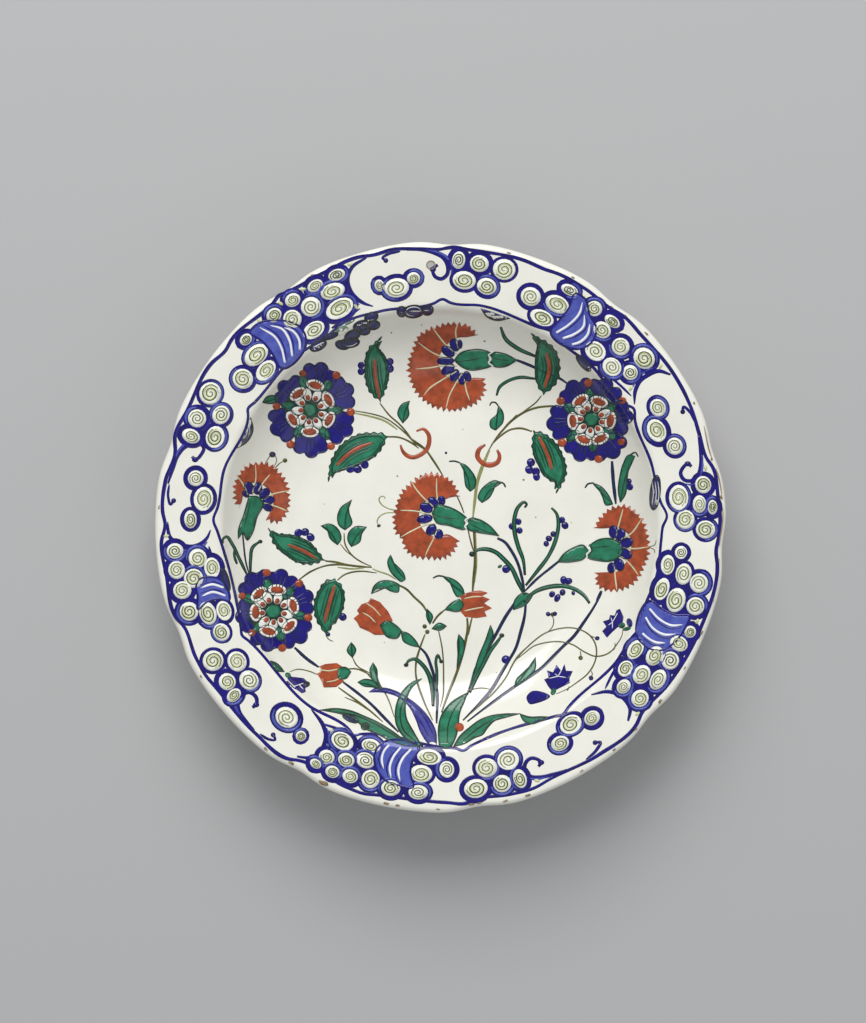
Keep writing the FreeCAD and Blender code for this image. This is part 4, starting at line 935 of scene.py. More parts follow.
for first, second in BROAD_LEAVES:
    middle = np.mean(first + second, axis=0)
    sides = [saw_toothed(side, middle, 4.2, 0.75) for side in (first, second)]
    wash(leaf_pot, np.vstack([sides[0][:-1], sides[1][:-1]]), straight=True)
    for side, drawn in zip((first, second), sides):
        inside = np.array(side, float) * 0.86 + middle * 0.14
        stroke(leaf_edge_pot, inside, 2.2, level=0.06, light=True, ends=(0.3, 0.3))
        stroke(leaf_line_pot, drawn, 0.75, level=0.08, ends=(0.7, 0.4), step=0.9)
for first, second in SMALL_LEAVES:
    leaf(leaf_pot, leaf_line_pot, first, second)
    vein = [np.array(first[0]), np.mean(first + second, axis=0), np.array(first[-1])]
    stroke(leaf_edge_pot, vein, 0.8, level=0.12, light=True, ends=(0.3, 0.2))
for rib in LEAF_RIBS:
    run = np.array(rib[-1], float) - rib[0]
    aside = np.array([-run[1], run[0]]) / np.linalg.norm(run)
    for offset in (-3.0, -1.5, 1.5, 3.0):
        beside = np.array(rib) * 0.9 + np.mean(rib, axis=0) * 0.1 + aside * offset
        shade_pot = leaf_edge_pot if abs(offset) > 2 else leaf_line_pot
        stroke(shade_pot, beside, 0.9, level=0.08, ends=(0.3, 0.2))
    stroke(rib_pot, rib, 2.0, level=0.22, ends=(0.5, 0.5))
for tip in CURLED_TIPS:
    stroke(leaf_line_pot, tip, 1.1, ends=(0.7, 0.7))
fire(leaf_pot, "leaf_greens", leaf_green)
fire(leaf_edge_pot, "leaf_dark_strokes", deep_green)
fire(leaf_line_pot, "leaf_lines", leaf_line)
fire(rib_pot, "leaf_ribs_red", red_bole, "leaf_ribs", slot="red_clay")


# ---------------------------------------------------------------- the tuft and the long blades
# Most stems spring from a tuft of broad blades at the foot of the painting. Long arching blades
# stand among them, each a green stroke between two dark edges, some with a knob at the tip.

TUFT_BLADES = [
    ([(-9.5, -116), (-14.3, -114.6), (-20, -110.3), (-23.3, -105), (-23.9, -98.6),
      (-22.2, -91.5), (-18.3, -85.9), (-14.9, -83.1), (-9.8, -81.2)],
     [(-9.8, -81.2), (-15.6, -86.4), (-18.6, -94), (-18.3, -101.3), (-14.3, -108.8),
      (-9.5, -116)]),
    ([(-0.6, -116.4), (-1.1, -108.2), (0.3, -101.2), (4.8, -94.8), (10, -91), (14.6, -88.5)],
     [(14.6, -88.5), (13, -92.8), (10.4, -98.6), (9.3, -105.6), (8.2, -110.9), (4.6, -116.4),
      (-0.6, -116.4)]),
    ([(15.5, -86.5), (17.7, -79.2), (20.5, -69.8), (24.2, -60.8), (26.8, -52.6)],
     [(26.8, -52.6), (28.2, -57), (25.8, -64.5), (21.5, -75), (15.5, -86.5)]),
    ([(7, -115.8), (9.8, -111.5), (15.5, -106.6), (21, -102.8), (26.7, -100.7), (34, -99.6),
      (42.4, -99.2)],
     [(42.4, -99.2), (34, -101.4), (28.4, -103.2), (25, -106.4), (22.2, -109.9),
      (18.3, -111.4), (11.5, -114.9), (7, -115.8)]),
    ([(42.2, -99.4), (44.2, -102.8), (47.6, -104), (52.6, -102.6), (57.6, -100.3)],
     [(57.6, -100.3), (52, -100.6), (47, -100.8), (42.2, -99.4)]),
    ([(-11.5, -116), (-18.3, -113.1), (-26.7, -107.6), (-35.2, -102.9), (-40, -100.8),
      (-47.5, -97.8), (-56.5, -96.3), (-63.8, -96.7)],
     [(-63.8, -96.7), (-58, -97.8), (-52.7, -99), (-44.3, -102.8), (-39.3, -106.9),
      (-35.2, -108.5), (-26.7, -112.7), (-18.3, -115.5), (-11.5, -116)]),
]
BLUE_BLADE = (
    [(-2, -116), (-2.5, -108.8), (-5.9, -102.3), (-11, -96.4), (-18.3, -91), (-23.9, -87.9),
     (-30, -86.2), (-34.6, -86.2), (-38.2, -88.2)],
    [(-38.2, -88.2), (-30, -88.4), (-22.4, -90.8), (-17, -95.3), (-12.7, -102.9),
     (-10.4, -108.8), (-5.9, -114.7), (-2, -116)],
)
LONG_BLADES = [
    ([(31.9, 105.8), (34.4, 100), (40.7, 95), (51, 90.3)], 2.4),
    ([(30, 70), (31.6, 74.4), (36, 77.7), (42, 79.6), (51, 78.8)], 1.9),
    ([(17.2, -14.6), (20, -12.5), (23.9, -12), (29.5, -13.7), (34, -17.6), (38, -22.1),
      (41, -28.3), (45, -36.5)], 2.7),
    ([(59.4, 10), (62, 7.1), (63.1, 1.5), (62, -5.8), (58, -15.4), (51.8, -23.8),
      (45.6, -31.5)], 2.3),
    ([(45, 10.2), (46.2, 11.8), (45, 13), (41.7, 10.5), (39.7, 4.9), (39.7, -3),
      (41.7, -10.9), (44.2, -17.6), (45.2, -26)], 2.4),
    ([(44.6, -40.5), (46.8, -37.9), (51.3, -34.5), (56.9, -32.5), (62.5, -31.7),
      (68.7, -32.3), (73.8, -34.5), (77.7, -37.9), (79.6, -41)], 2.5),
    ([(0.3, -72), (-1.4, -68.6), (-2.4, -72), (-2, -76.5), (-2, -88)], 1.8),
    ([(-18.3, -74), (-17.2, -72), (-13.8, -70.8), (-9.8, -73.7), (-5.9, -79.8),
      (-4.2, -87.6), (-3.9, -95.8)], 2.5),
    ([(32.6, -58.5), (30.6, -61.4), (26.7, -66.4), (22.8, -73.7), (18.8, -81.4),
      (15.6, -88.6)], 2.6),
    ([(-114.8, -8.8), (-114.8, -6.4), (-113.3, -5.3), (-110.4, -9.1), (-106.7, -17),
      (-102.8, -25.4)], 1.9),
    ([(-96.4, -8), (-99.8, -10.8), (-101, -17.6), (-101, -25.6)], 1.9),
    ([(-109.4, -12), (-109.1, -16), (-107.8, -19.8)], 1.4),
]
tuft_pot, tuft_line_pot, blade_pot = new_pot(), new_pot(), new_pot()
blue_pot, blue_line_pot = new_pot(), new_pot()
for first, second in TUFT_BLADES:
    leaf(tuft_pot, tuft_line_pot, first, second, 0.9)
wash(blue_pot, two_sided(*BLUE_BLADE), 0.075, straight=True)
for side in BLUE_BLADE:
    stroke(blue_line_pot, side, 0.8, level=0.08)
for inner in ([(-4, -110), (-8, -102.4), (-15, -95), (-24, -89.6)],
              [(-6.4, -111), (-10.4, -103.8), (-16, -96.6)]):
    stroke(blue_line_pot, inner, 0.8, level=0.08, ends=(0.6, 0.2))
for middle in ([(3.6, -114), (4, -106), (7, -98), (12.4, -91)],
               [(-13, -113.6), (-20, -107), (-21.4, -98.6), (-18.4, -90)],
               [(-20, -113), (-34, -105), (-45, -100), (-56, -97.6)],
               [(12, -113), (19, -107.6), (28, -102.2)]):
    stroke(tuft_line_pot, middle, 0.9, level=0.11, ends=(0.6, 0.2), step=0.9)
for points, width in LONG_BLADES:
    stroke(tuft_line_pot, points, width, level=0.07, ends=(0.55, 0.6))
    inner = curve_through(points, 1.0)
    stroke(blade_pot, inner[1:-2:3], width - 1.15, level=0.13, ends=(0.3, 0.4), light=True)
for x, y, size in [(17, -14.7, 1.7), (-18.3, -74, 1.3), (32.8, -58.2, 1.4), (0.4, -72.2, 1.1),
                   (-96, -8, 1.2), (-32.9, 0.5, 0.9), (-39.8, -105.6, 2.4)]:
    dab(tuft_line_pot, x, y, size, size * 0.85, level=0.1)
# Cobalt over a little green: a blue with a violet cast, paler along the middle of the blade.
violet_blue = fired_colour("violet_cobalt", "#4A4C9C", "#2A2A74", 5.0, pooled=0.5)
fire(tuft_pot, "tuft_blades", leaf_green)
fire(tuft_line_pot, "tuft_lines", leaf_line)
fire(blade_pot, "long_blades", leaf_green)
fire(blue_pot, "blue_blade", violet_blue)
fire(blue_line_pot, "blue_blade_lines", cobalt)


# ---------------------------------------------------------------- rosettes
# Three large rosettes: six scalloped groups of cobalt petals with red berries and green sepals
# between them, then two rings of white petals with red hearts, and a green eye in the middle.


def cluster(centre, blobs, count=56):
    """A scalloped outline: the furthest edge of overlapping round blobs, seen from the centre."""
    outline = []
    for t in np.linspace(0, math.tau, count, endpoint=False):
        ux, uy = math.cos(t), math.sin(t)
        far = 1.0
        for x, y, size in blobs:
            along = (x - centre[0]) * ux + (y - centre[1]) * uy
            aside = (x - centre[0]) * uy - (y - centre[1]) * ux
            if abs(aside) < size:
                far = max(far, along + math.sqrt(size**2 - aside**2))
        outline.append((centre[0] + far * ux, centre[1] + far * uy))
    return outline


ROSETTES = {
    "rosette_upper_left": {
        "middle": (-69.7, 62.4),
        "petal_groups": [(-64, 80.4), (-52.6, 71.2), (-53.4, 53), (-69.3, 43.6), (-84.2, 54),
                         (-79.8, 71.8)],
        "berries": [(-73, 81.2, 1.9), (-55.5, 80.6, 2.3), (-87, 63.8, 2.0), (-47.9, 61.2, 2.3),
                    (-79.9, 43.8, 2.3), (-58.5, 43, 2.2)],
        "sepals": [(-72.7, 76.2), (-60.8, 74.6), (-80.6, 64), (-56.4, 62.2), (-75.6, 51),
                   (-61.9, 50)],
        "outer": [(-66.6, 75.2), (-59.9, 67.6), (-59.6, 57), (-69.7, 50.6), (-78.7, 57),
                  (-75.8, 70.5)],
        "hearts": [(-70.7, 69.4), (-66.2, 68.8), (-63.2, 64.6), (-63, 59.6), (-66.2, 56),
                   (-70.2, 55.2), (-73.6, 57.6), (-75, 61.9), (-74.2, 66.2)],
        "eye": (-69.4, 62.2, 3.6),
    },
    "rosette_upper_right": {
        "middle": (80.7, 57.4),
        "petal_groups": [(72.4, 71.6), (86.4, 71.6), (94.8, 57.6), (90, 42.4), (75.4, 41.6),
                         (63.6, 55.6)],
        "berries": [(64.2, 67, 2.3), (78.4, 76.2, 2.3), (96, 66.6, 2.0), (96, 45, 2.0),
                    (65, 44.8, 2.4), (84.4, 36, 2.2)],
        "sepals": [(78.9, 69.4), (69.4, 63), (89.2, 62.2), (89.8, 49.4), (81.3, 44), (70.7, 48.4)],
        "outer": [(74.4, 67), (84.2, 66.2), (90.2, 56.2), (85.2, 46.8), (76.5, 46.4),
                  (70.7, 56.3)],
        "hearts": [(78, 63.6), (83, 63), (86.2, 59.6), (86.6, 55.4), (84.2, 51.6), (79.8, 50.6),
                   (75.8, 52.8), (74, 57.4), (75.2, 61.4)],
        "eye": (80.5, 57.2, 3.7),
    },
    "rosette_lower_left": {
        "middle": (-88.4, -44.8),
        "petal_groups": [(-98.2, -30.4), (-85.4, -29.6), (-74.4, -39), (-101.4, -46.6),
                         (-91, -59.2), (-77, -56.6)],
        "berries": [(-92.6, -24.6, 2.2), (-105, -36.6, 1.9), (-75.4, -30.4, 2.2),
                    (-70.6, -48.6, 2.3), (-84, -64.4, 2.2), (-99.6, -56, 2.0)],
        "sepals": [(-91.8, -31.6), (-81.2, -35.6), (-75.4, -47.4), (-95.8, -52.6),
                   (-85.4, -57), (-101, -38.4)],
        "outer": [(-96.6, -35.8), (-87, -33.8), (-78.6, -42.2), (-98, -45.4), (-91.2, -55.6),
                  (-80.4, -53)],
        "hearts": [(-95, -41), (-91.6, -38.6), (-86.8, -39), (-83, -41.6), (-82.6, -46.6),
                   (-84.6, -50.4), (-88.8, -51.6), (-93, -50), (-95.4, -46)],
        "eye": (-89, -45, 3.8),
    },
}
# Slip and glaze left bare for the white petals.
petal_white = fired_colour("white_petal_glaze", "#F0F0E8", "#DDE4DC", 3.0, pooled=0.25)
petal_pot, petal_line_pot, sepal_pot, white_pot, eye_pot, vein_pot = (
    new_pot() for _ in range(6)
)
for name, parts in ROSETTES.items():
    mx, my = parts["middle"]
    for x, y in parts["petal_groups"]:
        length = math.hypot(x - mx, y - my)
        ux, uy = (x - mx) / length, (y - my) / length
        blobs = [
            (x + ux * out - uy * aside, y + uy * out + ux * aside, size)
            for out, aside, size in [(-1.5, 0, 5.6), (3.1, 0.3, 3.7), (0.9, 5.7, 3.5),
                                     (0.9, -5.7, 3.5), (-3.0, 5.0, 3.2), (-3.0, -5.0, 3.2)]
        ]
        outline = cluster((x, y), blobs)
        wash(petal_pot, outline, 0.1, 1.1, straight=True)
        stroke(petal_line_pot, outline[::2], 0.7, level=0.1, closed=True, step=0.9)
        for aside in (-2.6, 0, 2.6):
            root = (x - ux * 4 - uy * aside * 0.5, y - uy * 4 + ux * aside * 0.5)
            tip = (x + ux * 3.6 - uy * aside, y + uy * 3.6 + ux * aside)
            stroke(petal_line_pot, [root, tip], 0.7, level=0.12, ends=(0.9, 0.2))
    wash(eye_pot, oval((mx, my), 13.2, 13.2, 0, 28), 0.12, straight=True)
    red_pot = new_pot()
    for x, y, size in parts["berries"]:
        dab(red_pot, x, y, size, size * 0.92, level=0.22)
    for x, y in parts["sepals"]:
        turn = math.degrees(math.atan2(y - my, x - mx))
        dab(sepal_pot, x, y, 4.0, 2.3, turn, 0.14)
        stroke(vein_pot, oval((x, y), 4.0, 2.3, turn, 10), 0.5, level=0.14, closed=True)
    for x, y in parts["outer"]:
        turn = math.degrees(math.atan2(y - my, x - mx)) + 90
        dab(white_pot, x, y, 5.0, 3.1, turn, 0.16)
        stroke(vein_pot, oval((x, y), 5.0, 3.1, turn, 12), 0.45, level=0.16, closed=True)
        dab(red_pot, x, y, 3.5, 1.9, turn, 0.24)
    for x, y in parts["hearts"]:
        length = math.hypot(x - mx, y - my)
        turn = math.degrees(math.atan2(y - my, x - mx))
        px, py = x + (x - mx) / length * 0.9, y + (y - my) / length * 0.9
        rx, ry = x - (x - mx) / length * 0.7, y - (y - my) / length * 0.7
        dab(white_pot, px, py, 3.5, 2.35, turn, 0.19)
        stroke(vein_pot, oval((px, py), 3.5, 2.35, turn, 12), 0.45, level=0.19, closed=True)
        dab(red_pot, rx, ry, 1.5, 1.25, turn, 0.28)
    x, y, size = parts["eye"]
    dab(sepal_pot, x, y, size, size * 0.95, level=0.2)
    stroke(vein_pot, oval((x, y), size, size * 0.95, 0, 12), 0.5, level=0.21, closed=True)
    fire(red_pot, name + "_red", red_bole, name, slot="red_clay")
fire(petal_pot, "rosette_petals", cobalt)
fire(petal_line_pot, "rosette_petal_lines", navy_line)
fire(eye_pot, "rosette_grounds", leaf_line)
fire(sepal_pot, "rosette_sepals", leaf_green)
fire(white_pot, "rosette_white_petals", petal_white)
fire(vein_pot, "rosette_outlines", outline_black)


# ---------------------------------------------------------------- carnations
# Four carnations in profile: a saw-toothed fan of thick red clay, split by pale lines left in the
# glaze, with cobalt petals at its heart and a green calyx. On three of them the calyx is in two
# parts with a white zigzag between.

CARNATIONS = {
    "carnation_top": {
        "outer": [(20.4, 102), (17.3, 105.4), (11.4, 108.2), (3.6, 108.4), (-4.8, 106),
                  (-12, 101.7), (-15.4, 94), (-17.6, 86.7), (-17.1, 80.3), (-13.7, 72.1),
                  (-8.4, 66.2), (-2, 63.1), (7.3, 61.5), (15.9, 63.7), (21.6, 67.3), (24.1, 71),
                  (24.3, 79.1)],
        "inner": [(24.3, 79.1), (17.1, 79.4), (12, 77.8), (6, 79), (1, 82.6), (-1, 88),
                  (1, 94), (5.6, 98.6), (9, 100.4), (14, 100.8), (20.4, 102)],
        "hub": (11, 88.8),
        "petals": [(7.6, 96.8, 3.4, 2.3), (10.4, 97.2, 2.2, 1.2), (4, 93.4, 3.9, 2.3),
                   (2.7, 88.4, 4.6, 1.9), (4, 84, 3.9, 2.2), (7.6, 80.8, 3.4, 2.2),
                   (11.5, 78.9, 3.2, 1.8), (14.4, 80.2, 2.8, 1.8)],
        "dividers": [[(9.5, 95), (8.4, 100.3), (8.1, 104.2), (9.5, 108)],
                     [(8.7, 92), (1.4, 98.5), (-2, 102.8), (-4.5, 106)],
                     [(6.7, 89.7), (0.3, 90.8), (-5.3, 93.4), (-12, 98.2)],
                     [(8.7, 85.6), (1.4, 85.9), (-5.3, 84.8), (-13.2, 84.2)],
                     [(8.7, 83), (0.3, 78), (-5.9, 73.8), (-9, 70)],
                     [(11.8, 82.2), (7.6, 75.5), (4.8, 70), (3, 63)],
                     [(12.9, 78.9), (13.7, 73.3), (15.7, 67.4)]],
        "calyx": ([(7.3, 88.8), (10.5, 92.4), (16, 94.1), (23, 94), (27.4, 92.4)],
                  [(27.4, 92.4), (25.4, 89.4), (27.4, 86.4), (22, 84.2), (15, 83.8),
                   (10.4, 86), (7.3, 88.8)]),
        "cup": ([(26.8, 90.5), (28.4, 92.6), (32.6, 92.4), (41, 88.7)],
                [(41, 88.7), (33.5, 85.2), (28.4, 85.8), (26.6, 88.4), (26.8, 90.5)]),
        "zigzag": [(28.2, 93.2), (25.7, 91.2), (27, 89.4), (25.7, 87.6), (28.2, 85.6)],
    },
    "carnation_left": {
        "outer": [(-107.5, 9.4), (-109.6, 13.9), (-109.7, 21.6), (-107.5, 27.8), (-102.4, 33),
                  (-97.4, 34.5), (-91.8, 34.2), (-86.5, 30.6), (-82.1, 24.5), (-80.4, 18.3),
                  (-80, 12.5), (-82.7, 4.9), (-87.1, 1.5), (-93.2, 3.2)],
        "inner": [(-93.2, 3.2), (-90.5, 8.8), (-88.8, 14), (-91.5, 19.6), (-97, 23.2),
                  (-102, 22.6), (-104.6, 18), (-105.5, 13.2), (-107.5, 9.4)],
        "hub": (-98.2, 12.6),
        "petals": [(-101.6, 20.6, 3.4, 2.3), (-97.2, 20.3, 3.2, 2.1), (-93.7, 17.6, 3.2, 2.2),
                   (-91.6, 14, 3.2, 2.1), (-92, 10.2, 2.6, 1.8), (-103.5, 17.3, 2, 1.3)],
        "dividers": [[(-102.3, 17), (-105, 22.9), (-107.8, 27)],
                     [(-100.2, 17), (-98.2, 25.6), (-98.3, 32.8)],
                     [(-97, 18.9), (-94.8, 22.8), (-90.9, 27.8)],
                     [(-95.9, 13.9), (-88.8, 17.5), (-81, 19.2)],
                     [(-94.2, 12.7), (-87.1, 10.5), (-81.5, 8.2)]],
        "calyx": ([(-101.8, 16.1), (-104.4, 6.5), (-107.2, -2), (-107.3, -6.4)],
                  [(-107.3, -6.4), (-105, -3.4), (-102.6, -7.2), (-100.6, -4.4),
                   (-97.6, 5.4), (-94.5, 12.8), (-97.6, 16), (-101.8, 16.1)]),
    },
    "carnation_centre": {
        "outer": [(10.7, 16.2), (8.7, 21.5), (3.1, 27.1), (-2.5, 28.8), (-11.3, 27.4),
                  (-16.6, 23.2), (-20.8, 19.5), (-23.9, 12.2), (-25.6, 3.5), (-23.9, -4.1),
                  (-20.3, -8), (-19.7, -11.7), (-14.1, -16.8), (-7, -17.6), (2.5, -17.6),
                  (9, -11.4), (10.4, -7.8)],
        "inner": [(10.4, -7.8), (3.1, -4.1), (-1.5, -5.6), (-8, -3), (-11.4, 4), (-9.8, 11),
                  (-5, 15.2), (2.5, 14.6), (5.3, 15.6), (10.7, 16.2)],
        "hub": (0.6, 5.8),
        "petals": [(0.5, 13.8, 2.5, 2.0), (-3.9, 13, 3.2, 2.1), (-7.6, 10, 3.6, 2.4),
                   (-8.4, 4.1, 4.2, 2.2), (-4.9, -1.7, 3.2, 2.3), (-0.9, -4.1, 2.6, 2.2)],
        "dividers": [[(-1.1, 11.6), (-2, 18.4), (-2, 25.7)],
                     [(-3.7, 10.5), (-9.8, 16.2), (-13.8, 21.2), (-15.8, 24.6)],
                     [(-2, 5.2), (-7, 6.9), (-13.8, 8.3), (-21.4, 8.7)],
                     [(-1.4, 1.8), (-7, 1.2), (-14.4, -1.9), (-21.4, -5.8)],
                     [(-1.4, -1), (-3.9, -6.9), (-7, -13.1), (-8.2, -15.9)]],
        "calyx": ([(-4.5, 7), (-1.6, 11.4), (4.2, 10.5), (11, 7.1), (14.6, 4.3)],
                  [(14.6, 4.3), (12.9, 2), (13.4, -0.8), (4.2, 0.7), (-2, 2.1), (-4.5, 7)]),
        "cup": ([(14.4, 2.6), (16, 4.4), (20, 4), (25.6, 1), (31.4, -5)],
                [(31.4, -5), (26.7, -4.1), (20, -3), (14.4, -1), (14.4, 2.6)]),
        "zigzag": [(15.4, 5), (13.2, 3.2), (14.6, 1.7), (13, 0.2), (14, -1.4)],
    },
    "carnation_right": {
        "outer": [(81.6, -0.7), (84.9, 5.2), (92.5, 11.1), (98.4, 11.6), (104.5, 7.7),
                  (109, 0.4), (110.4, -5.2), (110.4, -16.5), (107.7, -22.6), (102.1, -31.1),
                  (94.6, -34.7), (86.6, -33.9), (83.3, -31.6), (82.2, -24.6)],
        "inner": [(82.2, -24.6), (88.8, -24.3), (94, -23.9), (98.5, -19.4), (101, -13),
                  (101.4, -7), (97.6, -1.9), (92.5, -0.6), (86.5, -1), (81.6, -0.7)],
        "hub": (92.5, -12.2),
        "petals": [(92.3, -2.8, 3.4, 2.3), (95.9, -4.4, 3.4, 2.3), (98.8, -8.8, 3.6, 2.5),
                   (98.3, -14.6, 3.6, 2.5), (95.2, -20.2, 3.3, 2.5), (91.2, -22, 2.8, 2.0)],
        "dividers": [[(93.3, -5.8), (95.2, 1.5), (97.3, 9.4)],
                     [(96.2, -6.9), (101.6, -3.5), (106.7, 4)],
                     [(97.3, -11.4), (103.7, -11.7), (110.6, -10.6)],
                     [(93.9, -14.8), (98.4, -17.6), (102.1, -21.5), (105.1, -26)],
                     [(92.8, -21), (93.1, -26.6), (93.9, -34)]],
        "calyx": ([(79.6, -9.9), (84.9, -6.9), (90.9, -6.4), (96, -8.6)],
                  [(96, -8.6), (97, -13), (93, -17.7), (84.9, -18.2), (78.6, -16),
                   (80.8, -12.8), (79.6, -9.9)]),
        "cup": ([(62.6, -19), (66, -14.6), (71, -11.4), (76.6, -10), (79, -12.8)],
                [(79, -12.8), (76.8, -17), (71, -18.7), (62.6, -19)]),
        "zigzag": [(79.6, -9), (78.4, -11), (80.2, -12.8), (78.2, -14.6), (78.6, -16.8)],
    },
}


# Bare glaze left between the red petals, tinted by the clay beside it.
divider_cream = fired_colour("pale_divider_line", "#D5D2AC", "#B4B088", 3.0, pooled=0.2)
calyx_pot, calyx_line_pot, heart_pot, heart_line_pot, divider_pot, zigzag_pot = (
    new_pot() for _ in range(6)
)
for name, parts in CARNATIONS.items():
    fan_pot = new_pot()
    teeth = saw_toothed(parts["outer"], parts["hub"], 3.1, 1.7)
    fan = np.vstack([teeth[:-1], curve_through(parts["inner"], 0.9)[:-1]])
    wash(fan_pot, fan, 0.2, straight=True)
    fire(fan_pot, name + "_fan", red_bole, name, slot="red_clay")
    for line_points in parts["dividers"]:
        stroke(divider_pot, line_points, 0.95, level=0.22, ends=(0.6, 0.35))
    hub_x, hub_y = parts["hub"]
    for x, y, long, short in parts["petals"]:
        turn = math.degrees(math.atan2(y - hub_y, x - hub_x))
        dab(heart_pot, x, y, long, short, turn, 0.26)
        edge = oval((x, y), long, short, turn, 12)
        stroke(heart_line_pot, edge, 0.55, level=0.27, closed=True)
    for part in ("calyx", "cup"):
        if part in parts:
            first, second = parts[part]
            wash(calyx_pot, two_sided(first, second), 0.29, straight=True)
            for side in (first, second):
                stroke(calyx_line_pot, side, 0.75, level=0.29, ends=(0.6, 0.6))
            start, end = np.array(first[0], float), np.array(first[-1], float)
            middle = np.array(second[len(second) // 2 :], float).mean(0)
            vein = [
                start * 0.75 + middle * 0.25,
                (start + end + middle) / 3,
                end * 0.7 + middle * 0.3,
            ]
            stroke(calyx_line_pot, vein, 0.55, level=0.3, ends=(0.4, 0.2))
    if "zigzag" in parts:
        stroke(zigzag_pot, parts["zigzag"], 1.0, level=0.36, ends=(0.8, 0.8), step=0.8)
fire(divider_pot, "carnation_dividers", divider_cream)
fire(heart_line_pot, "carnation_heart_lines", navy_line)
fire(heart_pot, "carnation_hearts", cobalt)
fire(calyx_pot, "carnation_calyxes", leaf_green)
fire(calyx_line_pot, "carnation_calyx_lines", leaf_line)
fire(zigzag_pot, "carnation_zigzags", petal_white)


# ---------------------------------------------------------------- tulips, crescents and berry
# Three small tulips, two red crescents that ride on the stems, and one berry at the foot, all in
# the same raised red, the tulips with two stripes left pale.

TULIPS = {
    "tulip_lower_right": (
        [(10.5, -37.5), (13, -35.8), (18, -34.4), (21.5, -34.2), (25.3, -35.4), (22.2, -37.2),
         (26.4, -38.8), (23.4, -41), (27.5, -43.6), (23.6, -45.4), (24.8, -48), (19.4, -48.9),
         (13.2, -48.2), (10.6, -45.2), (12.4, -41.5)],
        [[(12.6, -38.6), (17, -37.6), (22.4, -37.4)], [(12.6, -45.2), (17, -44.2), (23.4, -43)]],
        ([(2.2, -44.6), (6, -40.8), (10.3, -38.6)],
         [(10.3, -38.6), (12.3, -41.6), (11, -44.6), (2.2, -44.6)]),
    ),
    "tulip_lower_left": (
        [(-64.7, -74.4), (-61, -73.2), (-55.3, -72.8), (-52.4, -74.6), (-54, -77.2),
         (-54, -79.8), (-51.4, -82.2), (-55.3, -85.3), (-62, -85.4), (-63.2, -82),
         (-65.6, -78.2), (-62.8, -76.6)],
        [[(-64.4, -76.2), (-59, -76.8), (-54, -75.8)], [(-60.6, -82.6), (-56.4, -82),
                                                       (-53, -80.4)]],
        ([(-54.6, -75.6), (-50.8, -75), (-47.6, -77.4)],
         [(-47.6, -77.4), (-50.4, -81), (-54.2, -80.8), (-54.6, -75.6)]),
    ),
    "tulip_middle_left": (
        [(-37.2, -38.2), (-38.6, -40.4), (-42.2, -41.5), (-44.6, -44.9), (-43.4, -46.6),
         (-46.4, -49.1), (-44.6, -51), (-43.1, -54), (-37.8, -56.3), (-35.2, -57.9),
         (-30.1, -57.9), (-31.4, -53), (-25.4, -50.4), (-27.9, -45.4), (-32.4, -40.3)],
        [[(-39.7, -41), (-36, -43.4), (-31.8, -48)], [(-41.6, -46), (-38, -48),
                                                      (-34.6, -51.4)]],
        ([(-32.4, -52.8), (-29, -50.4), (-24, -52.6), (-20.6, -55.6)],
         [(-20.6, -55.6), (-23, -59.6), (-28, -59.2), (-32.4, -52.8)]),
    ),
}
CRESCENTS = {
    "crescent_left": (
        [(-12.8, 51), (-9.3, 52.2), (-6.5, 49.5), (-6, 45), (-7.2, 41.5), (-10.6, 38.4),
         (-15, 37), (-18.6, 38.5), (-20.5, 41), (-21.3, 43.6)],
        2.4,
    ),
    "crescent_right": (
        [(24, 43.8), (20.8, 41.4), (19.8, 37.5), (22.5, 34), (27, 32.9), (30.9, 34.8),
         (31.6, 38), (30.3, 41)],
        2.8,
    ),
}
stripe_pot, tulip_cup_pot, tulip_line_pot = new_pot(), new_pot(), new_pot()
for name, (outline, stripes, cup) in TULIPS.items():
    tulip_pot = new_pot()
    wash(tulip_pot, outline, 0.2, 1.4, straight=True)
    fire(tulip_pot, name + "_cup", red_bole, name, slot="red_clay")
    for stripe in stripes:
        stroke(stripe_pot, stripe, 0.85, level=0.22, ends=(0.5, 0.4))
    wash(tulip_cup_pot, two_sided(*cup), 0.24, straight=True)
    for side in cup:
        stroke(tulip_line_pot, side, 0.65, level=0.24)
leaf(
    tulip_cup_pot,
    tulip_line_pot,
    [(-21, -56), (-18, -56.8), (-13.6, -60.6), (-11, -64.6)],
    [(-11, -64.6), (-16, -63.4), (-19.6, -61.4), (-21, -56)],
)
for name, (points, width) in CRESCENTS.items():
    crescent_pot = new_pot()
    stroke(crescent_pot, points, width, level=0.2, ends=(0.4, 0.4))
    fire(crescent_pot, name + "_stroke", red_bole, name, slot="red_clay")
berry_pot = new_pot()
dab(berry_pot, 10.1, -106.4, 2.4, 2.2, level=0.22)
fire(berry_pot, "berry_dot", red_bole, "berry", slot="red_clay")
fire(stripe_pot, "tulip_stripes", divider_cream)
fire(tulip_cup_pot, "tulip_calyxes", leaf_green)
fire(tulip_line_pot, "tulip_calyx_lines", leaf_line)


# ---------------------------------------------------------------- bluebells and blue berries
# Three bluebells, a bud and many round cobalt berries fill the spaces, each dropped on with a full
# brush so that the blue ran to a dark rim.

